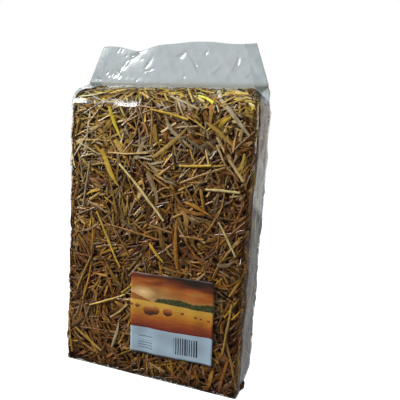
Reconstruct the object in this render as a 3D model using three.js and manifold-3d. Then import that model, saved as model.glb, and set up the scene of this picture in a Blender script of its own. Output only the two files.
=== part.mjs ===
import * as THREE from 'three';
import { mergeVertices } from 'three/addons/utils/BufferGeometryUtils.js';
import Module from 'manifold-3d';

// A pressed slab of chopped straw, packed upright in a clear film bag whose empty top is drawn
// flat into a fin, with a paper label on its front.
//
// Millimetres. X runs across the broad faces, Y runs through the slab with the labelled front
// at -Y, and Z points up from the surface that the slab stands on.

// Driving dimensions of the filled bag.
const WIDTH = 236;
const DEPTH = 87;
const EAVES_HEIGHT = 352; // where the sloping top would meet the broad faces
const CREST_HEIGHT = 368; // where the two sides of the film meet above the straw
const FOOT_ROUNDING = 6;
const EAVES_ROUNDING = 20;
const CREST_ROUNDING = 2;
const UPRIGHT_ROUNDING = 8; // at the four upright edges
const END_LEAN = 17; // how far each end of the straw leans in between the eaves and the crest
const FILM = 0.5;
const SEAT_GAP = 0.3; // between surfaces that touch in the real bundle

// The fin is the empty mouth of the bag: two sides of film with a slit between them.
const FIN_FOOT_WIDTH = 228;
const FIN_THICKNESS = 1.5;
const FIN_OVERLAP = 4; // how far the fin runs down into the crest
const SLIT_MARGIN = 3; // film left beside the foot of the slit
const SLIT_NARROWING = 0.985; // width of the slit over the fin's, at the mouth
const SLIT_RISE = 4; // how far the slit's cutter passes the mouth
const MOUTH_EDGE = [
  [98, 413],
  [60, 417],
  [22, 415],
  [0, 416],
  [-36, 411],
  [-54, 406],
  [-64, 406],
  [-82, 409],
  [-98, 410],
];

// The loose outer layer holds the straws that lie flat against the film.
const LAYER = 4.2;

// The label on the front.
const LABEL = { width: 106, height: 102, thickness: 0.4, corner: 1, x: 30, z: 86, tilt: 1.7 };

// Straws that are large enough to be told apart. Each lies in the loose outer layer of one side:
// across and up place its middle on that side, as seen from outside.
const STEM_SIDES = 8;
const STEM_BORE = 0.55; // bore over outer radius at a cut end
const STEM_BORE_DEPTH = 2.5;
const JOINT_SWELL = 1.2; // swelling of a stem at its leaf joint
const JOINT_LENGTH = 3;
const JOINT_PLACE = 1 / 6; // from the middle of a stem, over its length
const BLADE_THICKNESS = 0.9;
const CURVE_STEPS = 4;
const MERGE_TOLERANCE = 1e-4;

// A leaf blade's outline, over its half length and half width.
const BLADE_OUTLINE = {
  tornLow: 0.6,
  tornHigh: 0.7,
  tornNotch: 0.96,
  belly: 1.3,
  bellyPlace: -0.2,
  tip: 0.08,
  tipPlace: 0.98,
};

const FINISHES = {
  film: { colour: 0xc9d3d6, roughness: 0.15 },
  straw: { colour: 0x6b5430, roughness: 0.9 },
  stem: { colour: 0xc3a764, roughness: 0.7 },
  blade: { colour: 0x9c7a3c, roughness: 0.7 },
  label: { colour: 0xd98b3a, roughness: 0.5 },
};

const STEMS = {
  front: [
    { across: -17, up: 234, turn: -46, length: 88, radius: 1.5 },
    { across: -59, up: 171, turn: -63, length: 76, radius: 1.3 },
    { across: -27, up: 184, turn: -9, length: 70, radius: 1 },
    { across: 83, up: 244, turn: 0, length: 40, radius: 1.6 },
    { across: 49, up: 270, turn: 5, length: 38, radius: 1.4 },
    { across: -92, up: 236, turn: 81, length: 58, radius: 1.2 },
    { across: -93, up: 122, turn: 68, length: 50, radius: 1.4 },
    { across: -58, up: 92, turn: 24, length: 54, radius: 1.3 },
    { across: -84, up: 34, turn: -31, length: 46, radius: 1.5 },
    { across: 92, up: 190, turn: -58, length: 44, radius: 1.2 },
    { across: 99, up: 84, turn: 84, length: 62, radius: 1.3 },
    { across: 14, up: 326, turn: -12, length: 48, radius: 1.4 },
  ],
  back: [
    { across: -52, up: 262, turn: 38, length: 84, radius: 1.5 },
    { across: 48, up: 214, turn: -27, length: 76, radius: 1.3 },
    { across: -64, up: 132, turn: -52, length: 68, radius: 1.4 },
    { across: 36, up: 84, turn: 12, length: 80, radius: 1.6 },
    { across: 72, up: 306, turn: 64, length: 46, radius: 1.2 },
  ],
  left: [
    { across: 4, up: 236, turn: 72, length: 64, radius: 1.4 },
    { across: -8, up: 96, turn: -66, length: 58, radius: 1.3 },
  ],
  right: [
    { across: -6, up: 212, turn: -74, length: 66, radius: 1.4 },
    { across: 7, up: 108, turn: 62, length: 56, radius: 1.3 },
  ],
  front_slope: [
    { across: -66, up: 26, turn: 35, length: 34, radius: 1.1 },
    { across: 50, up: 26, turn: -32, length: 36, radius: 1.2 },
  ],
  back_slope: [
    { across: 34, up: 26, turn: 30, length: 38, radius: 1.3 },
    { across: -62, up: 25, turn: -36, length: 30, radius: 1.2 },
  ],
};

const BLADES = {
  front: [
    { across: -58, up: 259, turn: -61, length: 52, width: 7 },
    { across: 18, up: 296, turn: 42, length: 58, width: 6 },
    { across: 33, up: 178, turn: -86, length: 62, width: 5.5 },
    { across: -54, up: 314, turn: -66, length: 42, width: 5 },
    { across: 8, up: 162, turn: -49, length: 30, width: 4.5 },
    { across: 78, up: 304, turn: -38, length: 46, width: 5 },
    { across: -44, up: 50, turn: 77, length: 40, width: 5 },
    { across: 56, up: 220, turn: -22, length: 36, width: 4.5 },
  ],
  back: [
    { across: 6, up: 300, turn: -18, length: 54, width: 6 },
    { across: -8, up: 176, turn: 71, length: 50, width: 5.5 },
    { across: 76, up: 146, turn: -62, length: 44, width: 5 },
  ],
  left: [{ across: -2, up: 166, turn: 58, length: 44, width: 5 }],
  right: [{ across: 2, up: 292, turn: 64, length: 42, width: 5 }],
  front_slope: [{ across: -8, up: 26, turn: -30, length: 30, width: 5 }],
  back_slope: [{ across: -14, up: 26, turn: 28, length: 32, width: 4.5 }],
};

const wasm = await Module();
wasm.setup();

/** Turns a closed three.js geometry into a solid that can be cut and joined. */
function solidOf(geometry) {
  const bare = geometry.clone();
  bare.deleteAttribute('normal');
  bare.deleteAttribute('uv');
  const merged = mergeVertices(bare, MERGE_TOLERANCE);
  const vertProperties = new Float32Array(merged.attributes.position.array);
  const triVerts = new Uint32Array(merged.index.array);
  return new wasm.Manifold(new wasm.Mesh({ numProp: 3, vertProperties, triVerts }));
}

/** Turns a solid back into a three.js geometry with flat faces. */
function geometryOf(solid) {
  const mesh = solid.getMesh();
  const geometry = new THREE.BufferGeometry();
  geometry.setAttribute('position', new THREE.BufferAttribute(mesh.vertProperties, 3));
  geometry.setIndex(new THREE.BufferAttribute(mesh.triVerts, 1));
  geometry.computeVertexNormals();
  return geometry;
}

/** A closed outline through corners [x, y, reach], each rounded off over its own reach. */
function roundedOutline(corners) {
  const shape = new THREE.Shape();
  const count = corners.length;
  const cornerAt = (index) => new THREE.Vector2(...corners[(index + count) % count]);
  const towards = (from, to, reach) => from.clone().lerp(to, reach / from.distanceTo(to));
  corners.forEach(([, , reach], index) => {
    const corner = cornerAt(index);
    const start = towards(corner, cornerAt(index - 1), reach);
    const end = towards(corner, cornerAt(index + 1), reach);
    if (index === 0) {
      shape.moveTo(start.x, start.y);
    } else {
      shape.lineTo(start.x, start.y);
    }
    shape.quadraticCurveTo(corner.x, corner.y, end.x, end.y);
  });
  shape.closePath();
  return shape;
}

/** Extrudes an outline by a depth that is centred on the outline's own plane. */
function extrudeCentred(shape, depth) {
  const options = { depth, bevelEnabled: false, curveSegments: CURVE_STEPS };
  return new THREE.ExtrudeGeometry(shape, options).translate(0, 0, -depth / 2);
}

/** Points a geometry's own x, y and z along the given directions. */
function aim(geometry, xAxis, yAxis, zAxis) {
  const basis = new THREE.Matrix4().makeBasis(
    new THREE.Vector3(...xAxis),
    new THREE.Vector3(...yAxis),
    new THREE.Vector3(...zAxis),
  );
  return geometry.applyMatrix4(basis);
}

/** The filled bag's body, drawn in by an inset on every side. */
function packedBody(inset) {
  const halfDepth = DEPTH / 2 - inset;
  const halfWidth = WIDTH / 2 - inset;
  const gable = roundedOutline([
    [-halfDepth, inset, FOOT_ROUNDING],
    [halfDepth, inset, FOOT_ROUNDING],
    [halfDepth, EAVES_HEIGHT - inset, EAVES_ROUNDING],
    [0, CREST_HEIGHT - inset, CREST_ROUNDING],
    [-halfDepth, EAVES_HEIGHT - inset, EAVES_ROUNDING],
  ]);
  const plan = roundedOutline([
    [-halfWidth, -halfDepth, UPRIGHT_ROUNDING],
    [halfWidth, -halfDepth, UPRIGHT_ROUNDING],
    [halfWidth, halfDepth, UPRIGHT_ROUNDING],
    [-halfWidth, halfDepth, UPRIGHT_ROUNDING],
  ]);
  const across = aim(extrudeCentred(gable, halfWidth * 2), [0, 1, 0], [0, 0, 1], [1, 0, 0]);
  const upward = extrudeCentred(plan, CREST_HEIGHT * 3);
  return solidOf(across).intersect(solidOf(upward));
}

/** A flat upright sheet from the crest to the mouth; rise lifts its top edge. */
function finSheet(thickness, footHalfWidth, narrowing, rise) {
  const foot = CREST_HEIGHT - FIN_OVERLAP;
  const edge = MOUTH_EDGE.map(([x, z]) => new THREE.Vector2(x * narrowing, z + rise));
  const shape = new THREE.Shape();
  shape.moveTo(-footHalfWidth, foot);
  shape.lineTo(footHalfWidth, foot);
  shape.lineTo(edge[0].x, edge[0].y);
  shape.splineThru(edge.slice(1));
  shape.closePath();
  return solidOf(aim(extrudeCentred(shape, thickness), [1, 0, 0], [0, 0, 1], [0, -1, 0]));
}

function filmBagGeometry() {
  const finHalfWidth = FIN_FOOT_WIDTH / 2;
  const slitHalfWidth = finHalfWidth - SLIT_MARGIN;
  const outside = packedBody(0).add(finSheet(FIN_THICKNESS, finHalfWidth, 1, 0));
  const slit = finSheet(FIN_THICKNESS - 2 * FILM, slitHalfWidth, SLIT_NARROWING, SLIT_RISE);
  return geometryOf(outside.subtract(packedBody(FILM).add(slit)));
}

/** The space between the two ends of the slab, which lean in above the eaves. */
function leaningEnds(inset) {
  const halfWidth = WIDTH / 2 - inset;
  const ridge = halfWidth - END_LEAN;
  const top = CREST_HEIGHT - inset;
  const shape = new THREE.Shape();
  shape.moveTo(-halfWidth, 0);
  shape.lineTo(halfWidth, 0);
  shape.lineTo(halfWidth, EAVES_HEIGHT - inset);
  shape.lineTo(ridge, top);
  shape.lineTo(-ridge, top);
  shape.lineTo(-halfWidth, EAVES_HEIGHT - inset);
  shape.closePath();
  return solidOf(aim(extrudeCentred(shape, DEPTH), [1, 0, 0], [0, 0, 1], [0, -1, 0]));
}

function strawBlockGeometry() {
  const inset = FILM + LAYER;
  return geometryOf(packedBody(inset).intersect(leaningEnds(inset)));
}

function labelGeometry() {
  const halfWidth = LABEL.width / 2;
  const halfHeight = LABEL.height / 2;
  const sheet = roundedOutline([
    [-halfWidth, -halfHeight, LABEL.corner],
    [halfWidth, -halfHeight, LABEL.corner],
    [halfWidth, halfHeight, LABEL.corner],
    [-halfWidth, halfHeight, LABEL.corner],
  ]);
  return extrudeCentred(sheet, LABEL.thickness);
}

/** A hollow-ended stem along x, with one swollen joint a third of the way along. */
function stemGeometry({ length, radius }) {
  const end = length / 2;
  const bore = radius * STEM_BORE;
  const joint = length * JOINT_PLACE;
  const profile = [
    [0, STEM_BORE_DEPTH - end],
    [bore, STEM_BORE_DEPTH - end],
    [bore, -end],
    [radius, -end],
    [radius, joint - JOINT_LENGTH / 2],
    [radius * JOINT_SWELL, joint],
    [radius, joint + JOINT_LENGTH / 2],
    [radius, end],
    [bore, end],
    [bore, end - STEM_BORE_DEPTH],
    [0, end - STEM_BORE_DEPTH],
  ];
  const points = profile.map(([x, y]) => new THREE.Vector2(x, y));
  return new THREE.LatheGeometry(points, STEM_SIDES).rotateZ(-Math.PI / 2);
}

/** A flat leaf blade along x: torn square at one end, drawn to a tip at the other. */
function bladeGeometry({ length, width }) {
  const end = length / 2;
  const half = width / 2;
  const { tornLow, tornHigh, tornNotch, belly, bellyPlace, tip, tipPlace } = BLADE_OUTLINE;
  const shape = new THREE.Shape();
  shape.moveTo(-end, -half * tornLow);
  shape.quadraticCurveTo(end * bellyPlace, -half * belly, end * tipPlace, -half * tip);
  shape.lineTo(end, 0);
  shape.lineTo(end * tipPlace, half * tip);
  shape.quadraticCurveTo(end * bellyPlace, half * belly, -end * tornNotch, half * tornHigh);
  shape.closePath();
  return extrudeCentred(shape, BLADE_THICKNESS);
}

function named(name, geometry, { colour, roughness }) {
  const material = new THREE.MeshStandardMaterial({ color: colour, roughness, metalness: 0 });
  const mesh = new THREE.Mesh(geometry, material);
  mesh.name = name;
  return mesh;
}

/** A group whose own xy plane lies in the middle of the loose layer on one side of the slab. */
function sideGroup(xAxis, yAxis, outward, origin) {
  const group = new THREE.Group();
  const middle = FILM + LAYER / 2;
  group.matrix.makeBasis(xAxis, yAxis, outward);
  group.matrix.setPosition(origin.clone().addScaledVector(outward, -middle));
  group.matrix.decompose(group.position, group.quaternion, group.scale);
  return group;
}

function sideGroups() {
  const x = new THREE.Vector3(1, 0, 0);
  const y = new THREE.Vector3(0, 1, 0);
  const z = new THREE.Vector3(0, 0, 1);
  const back = x.clone().negate();
  const rise = new THREE.Vector3(0, DEPTH / 2, CREST_HEIGHT - EAVES_HEIGHT).normalize();
  const fall = new THREE.Vector3(0, -rise.y, rise.z);
  const frontEaves = new THREE.Vector3(0, -DEPTH / 2, EAVES_HEIGHT);
  const backEaves = new THREE.Vector3(0, DEPTH / 2, EAVES_HEIGHT);
  return {
    front: sideGroup(x, z, y.clone().negate(), new THREE.Vector3(0, -DEPTH / 2, 0)),
    back: sideGroup(back, z, y, new THREE.Vector3(0, DEPTH / 2, 0)),
    left: sideGroup(y.clone().negate(), z, back, new THREE.Vector3(-WIDTH / 2, 0, 0)),
    right: sideGroup(y, z, x, new THREE.Vector3(WIDTH / 2, 0, 0)),
    front_slope: sideGroup(x, rise, new THREE.Vector3(0, -rise.z, rise.y), frontEaves),
    back_slope: sideGroup(back, fall, new THREE.Vector3(0, rise.z, rise.y), backEaves),
  };
}

/** Lays the listed straws in the loose layer of each side. */
function layStraws(groups, listing, kind, makeGeometry, finish) {
  for (const [side, straws] of Object.entries(listing)) {
    straws.forEach((straw, index) => {
      const mesh = named(`${kind}_${side}_${index + 1}`, makeGeometry(straw), finish);
      mesh.position.set(straw.across, straw.up, 0);
      mesh.rotation.z = THREE.MathUtils.degToRad(straw.turn);
      groups[side].add(mesh);
    });
  }
}

function labelMesh() {
  const mesh = named('label', labelGeometry(), FINISHES.label);
  const stand = DEPTH / 2 + SEAT_GAP + LABEL.thickness / 2;
  mesh.position.set(LABEL.x, -stand, LABEL.z);
  mesh.rotation.set(Math.PI / 2, 0, 0);
  mesh.rotateZ(THREE.MathUtils.degToRad(LABEL.tilt));
  return mesh;
}

const bundle = new THREE.Group();
const sides = sideGroups();
bundle.add(named('film_bag', filmBagGeometry(), FINISHES.film));
bundle.add(named('straw_block', strawBlockGeometry(), FINISHES.straw));
bundle.add(labelMesh());
bundle.add(...Object.values(sides));
layStraws(sides, STEMS, 'stem', stemGeometry, FINISHES.stem);
layStraws(sides, BLADES, 'leaf_blade', bladeGeometry, FINISHES.blade);

export default bundle;
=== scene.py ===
import logging
import math
from collections.abc import Callable
from dataclasses import dataclass, field
from enum import Enum

import bmesh
import bpy
import numpy as np
from mathutils import Matrix, Vector


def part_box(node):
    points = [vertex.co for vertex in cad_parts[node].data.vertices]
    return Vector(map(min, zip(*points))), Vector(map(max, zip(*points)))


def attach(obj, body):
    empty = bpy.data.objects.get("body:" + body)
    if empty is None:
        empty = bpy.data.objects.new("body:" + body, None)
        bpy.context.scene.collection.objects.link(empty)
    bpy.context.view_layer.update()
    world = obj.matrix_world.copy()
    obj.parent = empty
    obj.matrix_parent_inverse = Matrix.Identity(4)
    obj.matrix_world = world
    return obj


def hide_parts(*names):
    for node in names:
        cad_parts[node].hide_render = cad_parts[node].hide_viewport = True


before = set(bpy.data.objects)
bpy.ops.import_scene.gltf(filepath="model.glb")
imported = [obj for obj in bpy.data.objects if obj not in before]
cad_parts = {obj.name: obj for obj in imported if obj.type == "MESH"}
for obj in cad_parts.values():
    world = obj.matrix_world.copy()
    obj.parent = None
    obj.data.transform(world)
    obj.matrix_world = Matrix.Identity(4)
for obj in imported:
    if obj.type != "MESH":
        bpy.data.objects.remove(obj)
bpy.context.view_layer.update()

# A bagged bundle of straw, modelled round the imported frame. Metres, with +Z up and the labelled
# front at -Y.

LOG = logging.getLogger("straw_bundle")
MM = 0.001
ATLAS_MAP = "OFBake"
MAP_MARGIN = 0.06

Array = np.ndarray
Vec = tuple[float, float, float]
Colour = Vec
Piece = bpy.types.Object
Random = np.random.Generator
Socket = bpy.types.NodeSocket


class StrawKind(Enum):
    """The kinds of piece that the chopped straw is made of."""

    PRESSED_STEM = "pressed_stems"
    SPLIT_STEM = "split_stems"
    LEAF_SCRAP = "leaf_scraps"
    SPLINTER = "splinters"
    CHAFF = "chaff"


class Side(Enum):
    """The sides of the slab, as the parts' names have them."""

    FRONT = "front"
    BACK = "back"
    LEFT = "left"
    RIGHT = "right"
    FOOT = "foot"


# ---------------------------------------------------------------- workbench


def deselect_all() -> None:
    """Leaves nothing selected and object mode on."""
    if bpy.context.object is not None and bpy.context.object.mode != "OBJECT":
        bpy.ops.object.mode_set(mode="OBJECT")
    bpy.ops.object.select_all(action="DESELECT")


def select_only(piece: Piece) -> None:
    """Selects one piece alone and makes it the active one.

    Args:
        piece: The piece.
    """
    deselect_all()
    piece.select_set(True)
    bpy.context.view_layer.objects.active = piece


def edit_all() -> None:
    """Opens the active piece in edit mode, with all of it selected."""
    bpy.ops.object.mode_set(mode="EDIT")
    bpy.ops.mesh.select_all(action="SELECT")


def named(name: str) -> Piece:
    """Names the object that an operator has just added, and returns it.

    Args:
        name: The name, which its mesh gets too.

    Returns:
        The object.
    """
    piece = bpy.context.object
    piece.name = name
    piece.data.name = name
    return piece


def pick(piece: Piece, elements: str, wanted: Callable[[bmesh.types.BMVert], bool]) -> None:
    """Selects, in edit mode, the elements that a test wants.

    Args:
        piece: The object in edit mode.
        elements: "verts", "edges" or "faces".
        wanted: Takes such an element and says whether it is selected.
    """
    bpy.ops.mesh.select_all(action="DESELECT")
    bpy.ops.mesh.select_mode(type={"verts": "VERT", "edges": "EDGE", "faces": "FACE"}[elements])
    shape = bmesh.from_edit_mesh(piece.data)
    for item in getattr(shape, elements):
        if wanted(item):
            item.select_set(True)
    shape.select_flush_mode()
    bmesh.update_edit_mesh(piece.data)


def read_points(piece: Piece) -> Array:
    """The places of a mesh's vertices, one row each.

    Args:
        piece: The piece.

    Returns:
        The points, one row each.
    """
    flat = np.empty(len(piece.data.vertices) * 3)
    piece.data.vertices.foreach_get("co", flat)
    return flat.reshape(-1, 3)


def write_points(piece: Piece, points: Array) -> None:
    """Moves a mesh's vertices to the given places."""
    piece.data.vertices.foreach_set("co", np.ascontiguousarray(points, np.float32).ravel())
    piece.data.update()


def apply_all_modifiers(piece: Piece) -> None:
    """Applies every modifier of a piece, from the top down.

    Args:
        piece: The piece.
    """
    select_only(piece)
    for modifier in list(piece.modifiers):
        bpy.ops.object.modifier_apply(modifier=modifier.name)


def thicken(piece: Piece, thickness: float, offset: float) -> None:
    """Gives a sheet of mesh its thickness.

    Args:
        piece: The sheet.
        thickness: How thick it gets.
        offset: -1 for inwards only, 0 for both ways alike.
    """
    wall = piece.modifiers.new("wall", "SOLIDIFY")
    wall.thickness = thickness
    wall.offset = offset
    apply_all_modifiers(piece)


def store(piece: Piece, name: str, kind: str, values: Array) -> None:
    """Stores a value for each vertex, which a finish reads by its name.

    Args:
        piece: The piece.
        name: The name of the values.
        kind: "FLOAT", "FLOAT_VECTOR" or "FLOAT_COLOR".
        values: A number, a vector or a colour for each vertex.
    """
    member = {"FLOAT": "value", "FLOAT_VECTOR": "vector", "FLOAT_COLOR": "color"}[kind]
    layer = piece.data.attributes.new(name, kind, "POINT")
    layer.data.foreach_set(member, values.astype(np.float32).ravel())


def settle(piece: Piece, finish: bpy.types.Material, slot: str, *nodes: str) -> None:
    """Puts a modelled piece on the body, with its finish.

    Args:
        piece: The piece.
        finish: Its material.
        slot: Not used.
        *nodes: The CAD nodes that it stands for.
    """
    piece.data.materials.append(finish)
    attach(piece, "root")
    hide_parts(*nodes)
    LOG.info("%s: %d faces", piece.name, len(piece.data.polygons))


def smooth_step(low: float, high: float, value: Array) -> Array:
    """A soft step from 0 at low to 1 at high."""
    share = np.clip((value - low) / (high - low), 0, 1)
    return share * share * (3 - 2 * share)


def waves(a: Array, b: Array, lengths: tuple[float, ...], seed: int) -> Array:
    """A soft uneven surface over two coordinates, about -1 to 1.

    Args:
        a: First coordinate of each point, in metres.
        b: Second coordinate of each point, in metres.
        lengths: The wave lengths that are summed, in metres.
        seed: Sets the directions and phases.

    Returns:
        The height at each point.
    """
    draw = np.random.default_rng(seed)
    total = np.zeros_like(a)
    for length in lengths:
        turn = draw.uniform(0, math.tau)
        shift, cross_shift = draw.uniform(0, math.tau, 2)
        pitch = math.tau / length
        along = a * math.cos(turn) + b * math.sin(turn)
        across = b * math.cos(turn) - a * math.sin(turn)
        total += np.sin(along * pitch + shift) * np.cos(across * pitch * 0.8 + cross_shift)
    return total / math.sqrt(len(lengths))


# ---------------------------------------------------------------- the slab's shape


@dataclass
class SlabShape:
    """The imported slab: upright walls that lean in over a roof and meet along a crest.

    A place on a wall is given by how far along the wall it is, by its height measured along the
    film (its "sheet" height), and by its depth below the film.
    """

    half_width: float
    half_depth: float
    crest: float
    gable_rise: float = 16 * MM
    upright_rounding: float = 8 * MM
    foot_rounding: float = 4.5 * MM
    eaves_arc: float = 34 * MM
    crest_arc: float = 5 * MM
    ply_gap: float = 0.45 * MM
    tuck: float = 0.4
    bulge: float = 1.1 * MM
    straw_clearance: float = 0.6 * MM

    WALL_WAVES = (0.105, 0.071, 0.047, 0.033)
    ROOF_WAVES = (0.09, 0.05)

    def __post_init__(self) -> None:
        """Works out the path of the film over the eaves and up to the crest."""
        fall = math.atan2(self.half_depth, self.gable_rise)
        eaves_radius, crest_radius = self.eaves_arc / fall, self.crest_arc / fall
        inward = self.half_depth - self.ply_gap
        turned = (eaves_radius + crest_radius) * (1 - math.cos(fall))
        slope = (inward - turned) / math.sin(fall)
        rise = (eaves_radius + crest_radius) * math.sin(fall) + slope * math.cos(fall)
        self.bend_start = self.crest - rise
        self.slope_length = self.eaves_arc + slope + self.crest_arc
        steps = np.linspace(0, self.slope_length, 400)
        heading = np.minimum(steps / eaves_radius, fall)
        heading = np.minimum(heading, (self.slope_length - steps) / crest_radius)
        stride = np.diff(steps, prepend=0)
        self.path_sheet = self.bend_start + steps
        self.path_heading = heading
        self.path_inward = np.cumsum(np.sin(heading) * stride)
        self.path_height = self.bend_start + np.cumsum(np.cos(heading) * stride)

    @classmethod
    def from_frame(cls) -> "SlabShape":
        """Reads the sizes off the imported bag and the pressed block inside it.

        Returns:
            The slab's shape.
        """
        bag_low, bag_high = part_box("film_bag")
        block_low, block_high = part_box("straw_block")
        return cls(bag_high.x, bag_high.y, block_high.z + block_low.x - bag_low.x)

    @property
    def eaves(self) -> float:
        """The height at which the walls would meet a sharp roof."""
        return self.crest - self.gable_rise

    def profile(self, sheet: Array) -> tuple[Array, Array, Array]:
        """How far in, how high and how far tipped the film is at a height along the sheet.

        Args:
            sheet: Heights along the film.

        Returns:
            How far in, how high and how far tipped, in radians, the film is at each.
        """
        inward = np.interp(sheet, self.path_sheet, self.path_inward)
        bent_height = np.interp(sheet, self.path_sheet, self.path_height)
        height = np.where(sheet < self.bend_start, sheet, bent_height)
        return inward, height, np.interp(sheet, self.path_sheet, self.path_heading)

    def sheet_at(self, left: float) -> float:
        """The sheet height at which the roof is a given distance from the middle."""
        return float(np.interp(self.half_depth - left, self.path_inward, self.path_sheet))

    @staticmethod
    def round_edge(
        a: Array, b: Array, far_a: Array | float, far_b: Array | float, radius: Array
    ) -> tuple[Array, Array]:
        """Bends the square corner at (far_a, far_b) into an arc, keeping depths.

        Args:
            a: First coordinate.
            b: Second coordinate.
            far_a: Where the corner is along the first.
            far_b: Where the corner is along the second.
            radius: Radius of the arc at each point.

        Returns:
            The two bent coordinates.
        """
        over_a = np.abs(a) - (far_a - radius)
        over_b = np.abs(b) - (far_b - radius)
        inside = (over_a > 0) & (over_b > 0)
        reach = np.maximum(over_a, over_b)
        low = np.minimum(over_a, over_b)
        half = math.pi / 4 * np.divide(low, reach, out=np.zeros_like(low), where=inside)
        angle = np.where(over_a >= over_b, half, math.pi / 2 - half)
        bent_a = np.sign(a) * (far_a - radius + reach * np.cos(angle))
        bent_b = np.sign(b) * (far_b - radius + reach * np.sin(angle))
        return np.where(inside, bent_a, a), np.where(inside, bent_b, b)

    def bulged(self, points: Array) -> Array:
        """Pushes each wall and the roof in and out a little, least at the foot.

        Args:
            points: The points, one row each.

        Returns:
            The moved points.
        """
        x, y, z = points.T
        lengths = self.WALL_WAVES
        steady = smooth_step(0, 0.03, z)
        front = waves(x, z, lengths, 11) * (y < 0) + waves(x, z, lengths, 12) * (y >= 0)
        end = waves(y, z, lengths, 13) * (x < 0) + waves(y, z, lengths, 14) * (x >= 0)
        roof = smooth_step(self.bend_start, self.eaves, z)
        roof = roof * (1 - smooth_step(self.crest - 8 * MM, self.crest, z))
        moved = points.copy()
        moved[:, 1] += self.bulge * front * steady * np.clip(y / self.half_depth, -1, 1) ** 3
        moved[:, 0] += self.bulge * end * steady * np.clip(x / self.half_width, -1, 1) ** 5
        moved[:, 2] += self.bulge * roof * waves(x, y, self.ROOF_WAVES, 15)
        return moved

    def wrap(self, points: Array) -> Array:
        """Rounds the edges of the sharp slab and bulges its walls.

        Args:
            points: Points of the sharp slab, one row each.

        Returns:
            The points of the rounded slab.
        """
        x, y, z = points.T
        inward = np.where(z > self.bend_start, np.interp(z, self.path_height, self.path_inward), 0)
        far_x, far_y = self.half_width - self.tuck * inward, self.half_depth - inward
        x, y = self.round_edge(x, y, far_x, far_y, np.minimum(self.upright_rounding, 0.9 * far_y))
        bent = self.bulged(self.foot_rounded(x, y, z))
        bent[:, 2] = np.maximum(bent[:, 2], self.straw_clearance)
        return bent

    def foot_rounded(self, x: Array, y: Array, z: Array) -> Array:
        """Rounds the four edges of the slab's foot.

        Args:
            x: First coordinate of each point.
            y: Second coordinate.
            z: Third coordinate.

        Returns:
            The moved points, one row each.
        """
        middle = self.crest / 2
        low = z < middle
        foot = np.full_like(z, self.foot_rounding)
        low_y, low_z = self.round_edge(y, z - middle, self.half_depth, middle, foot)
        y, z = np.where(low, low_y, y), np.where(low, low_z + middle, z)
        low_x, low_z = self.round_edge(x, z - middle, self.half_width, middle, foot)
        x, z = np.where(low, low_x, x), np.where(low, low_z + middle, z)
        return np.stack([x, y, z], axis=1)


@dataclass(frozen=True)
class Wall:
    """One side of the slab, on which straws are laid: along it, up the sheet, and in depth."""

    side: Side
    shape: SlabShape
    width: float
    height: float

    def place(self, across: Array, up: Array, depth: Array) -> Array:
        """Points of the sharp slab from places on the wall and depths below it.

        Args:
            across: Places along the wall.
            up: Heights along the film.
            depth: Depths below the film.

        Returns:
            The points of the sharp slab.
        """
        shape = self.shape
        if self.side is Side.FOOT:
            return np.stack([across, shape.half_depth - up, depth], axis=-1)
        inward, height, heading = shape.profile(up)
        if self.side in (Side.FRONT, Side.BACK):
            out = shape.half_depth - inward - depth * np.cos(heading)
            z = height - depth * np.sin(heading)
            along = across * (1 - shape.tuck * inward / shape.half_width)
            flip = 1 if self.side is Side.FRONT else -1
            return np.stack([flip * along, -flip * out, z], axis=-1)
        out = shape.half_width - shape.tuck * inward - depth
        along = across * (1 - inward / shape.half_depth)
        flip = 1 if self.side is Side.RIGHT else -1
        return np.stack([flip * out, flip * along, height], axis=-1)

    def flattened(self, points: Array) -> Array:
        """Where points near the wall lie on it: along it, and up the sheet.

        Args:
            points: The points, one row each.

        Returns:
            Where each is along the wall and up the film.
        """
        x, y, z = points.T
        across = {Side.FRONT: x, Side.BACK: -x, Side.RIGHT: y, Side.LEFT: -y, Side.FOOT: x}[self.side]
        shape = self.shape
        on_roof = np.interp(shape.half_depth - np.abs(y), shape.path_inward, shape.path_sheet)
        on_wall = np.where(z < shape.bend_start, z, np.interp(z, shape.path_height, shape.path_sheet))
        roof = (z > shape.eaves) if self.side in (Side.FRONT, Side.BACK) else np.zeros(len(z), bool)
        return np.stack([across, np.where(roof, on_roof, on_wall)], axis=1)


def walls(shape: SlabShape) -> dict[Side, Wall]:
    """The sides of a slab; the front and the back run on over the roof.

    Args:
        shape: The slab.

    Returns:
        The sides, by name.
    """
    width, depth = 2 * shape.half_width, 2 * shape.half_depth
    ridge, gable = shape.sheet_at(3.5 * MM), shape.sheet_at(8 * MM)
    rows = (
        Wall(Side.FRONT, shape, width, ridge),
        Wall(Side.BACK, shape, width, ridge),
        Wall(Side.LEFT, shape, depth, gable),
        Wall(Side.RIGHT, shape, depth, gable),
        Wall(Side.FOOT, shape, width, depth),
    )
    return {row.side: row for row in rows}


# ---------------------------------------------------------------- finishes


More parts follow.
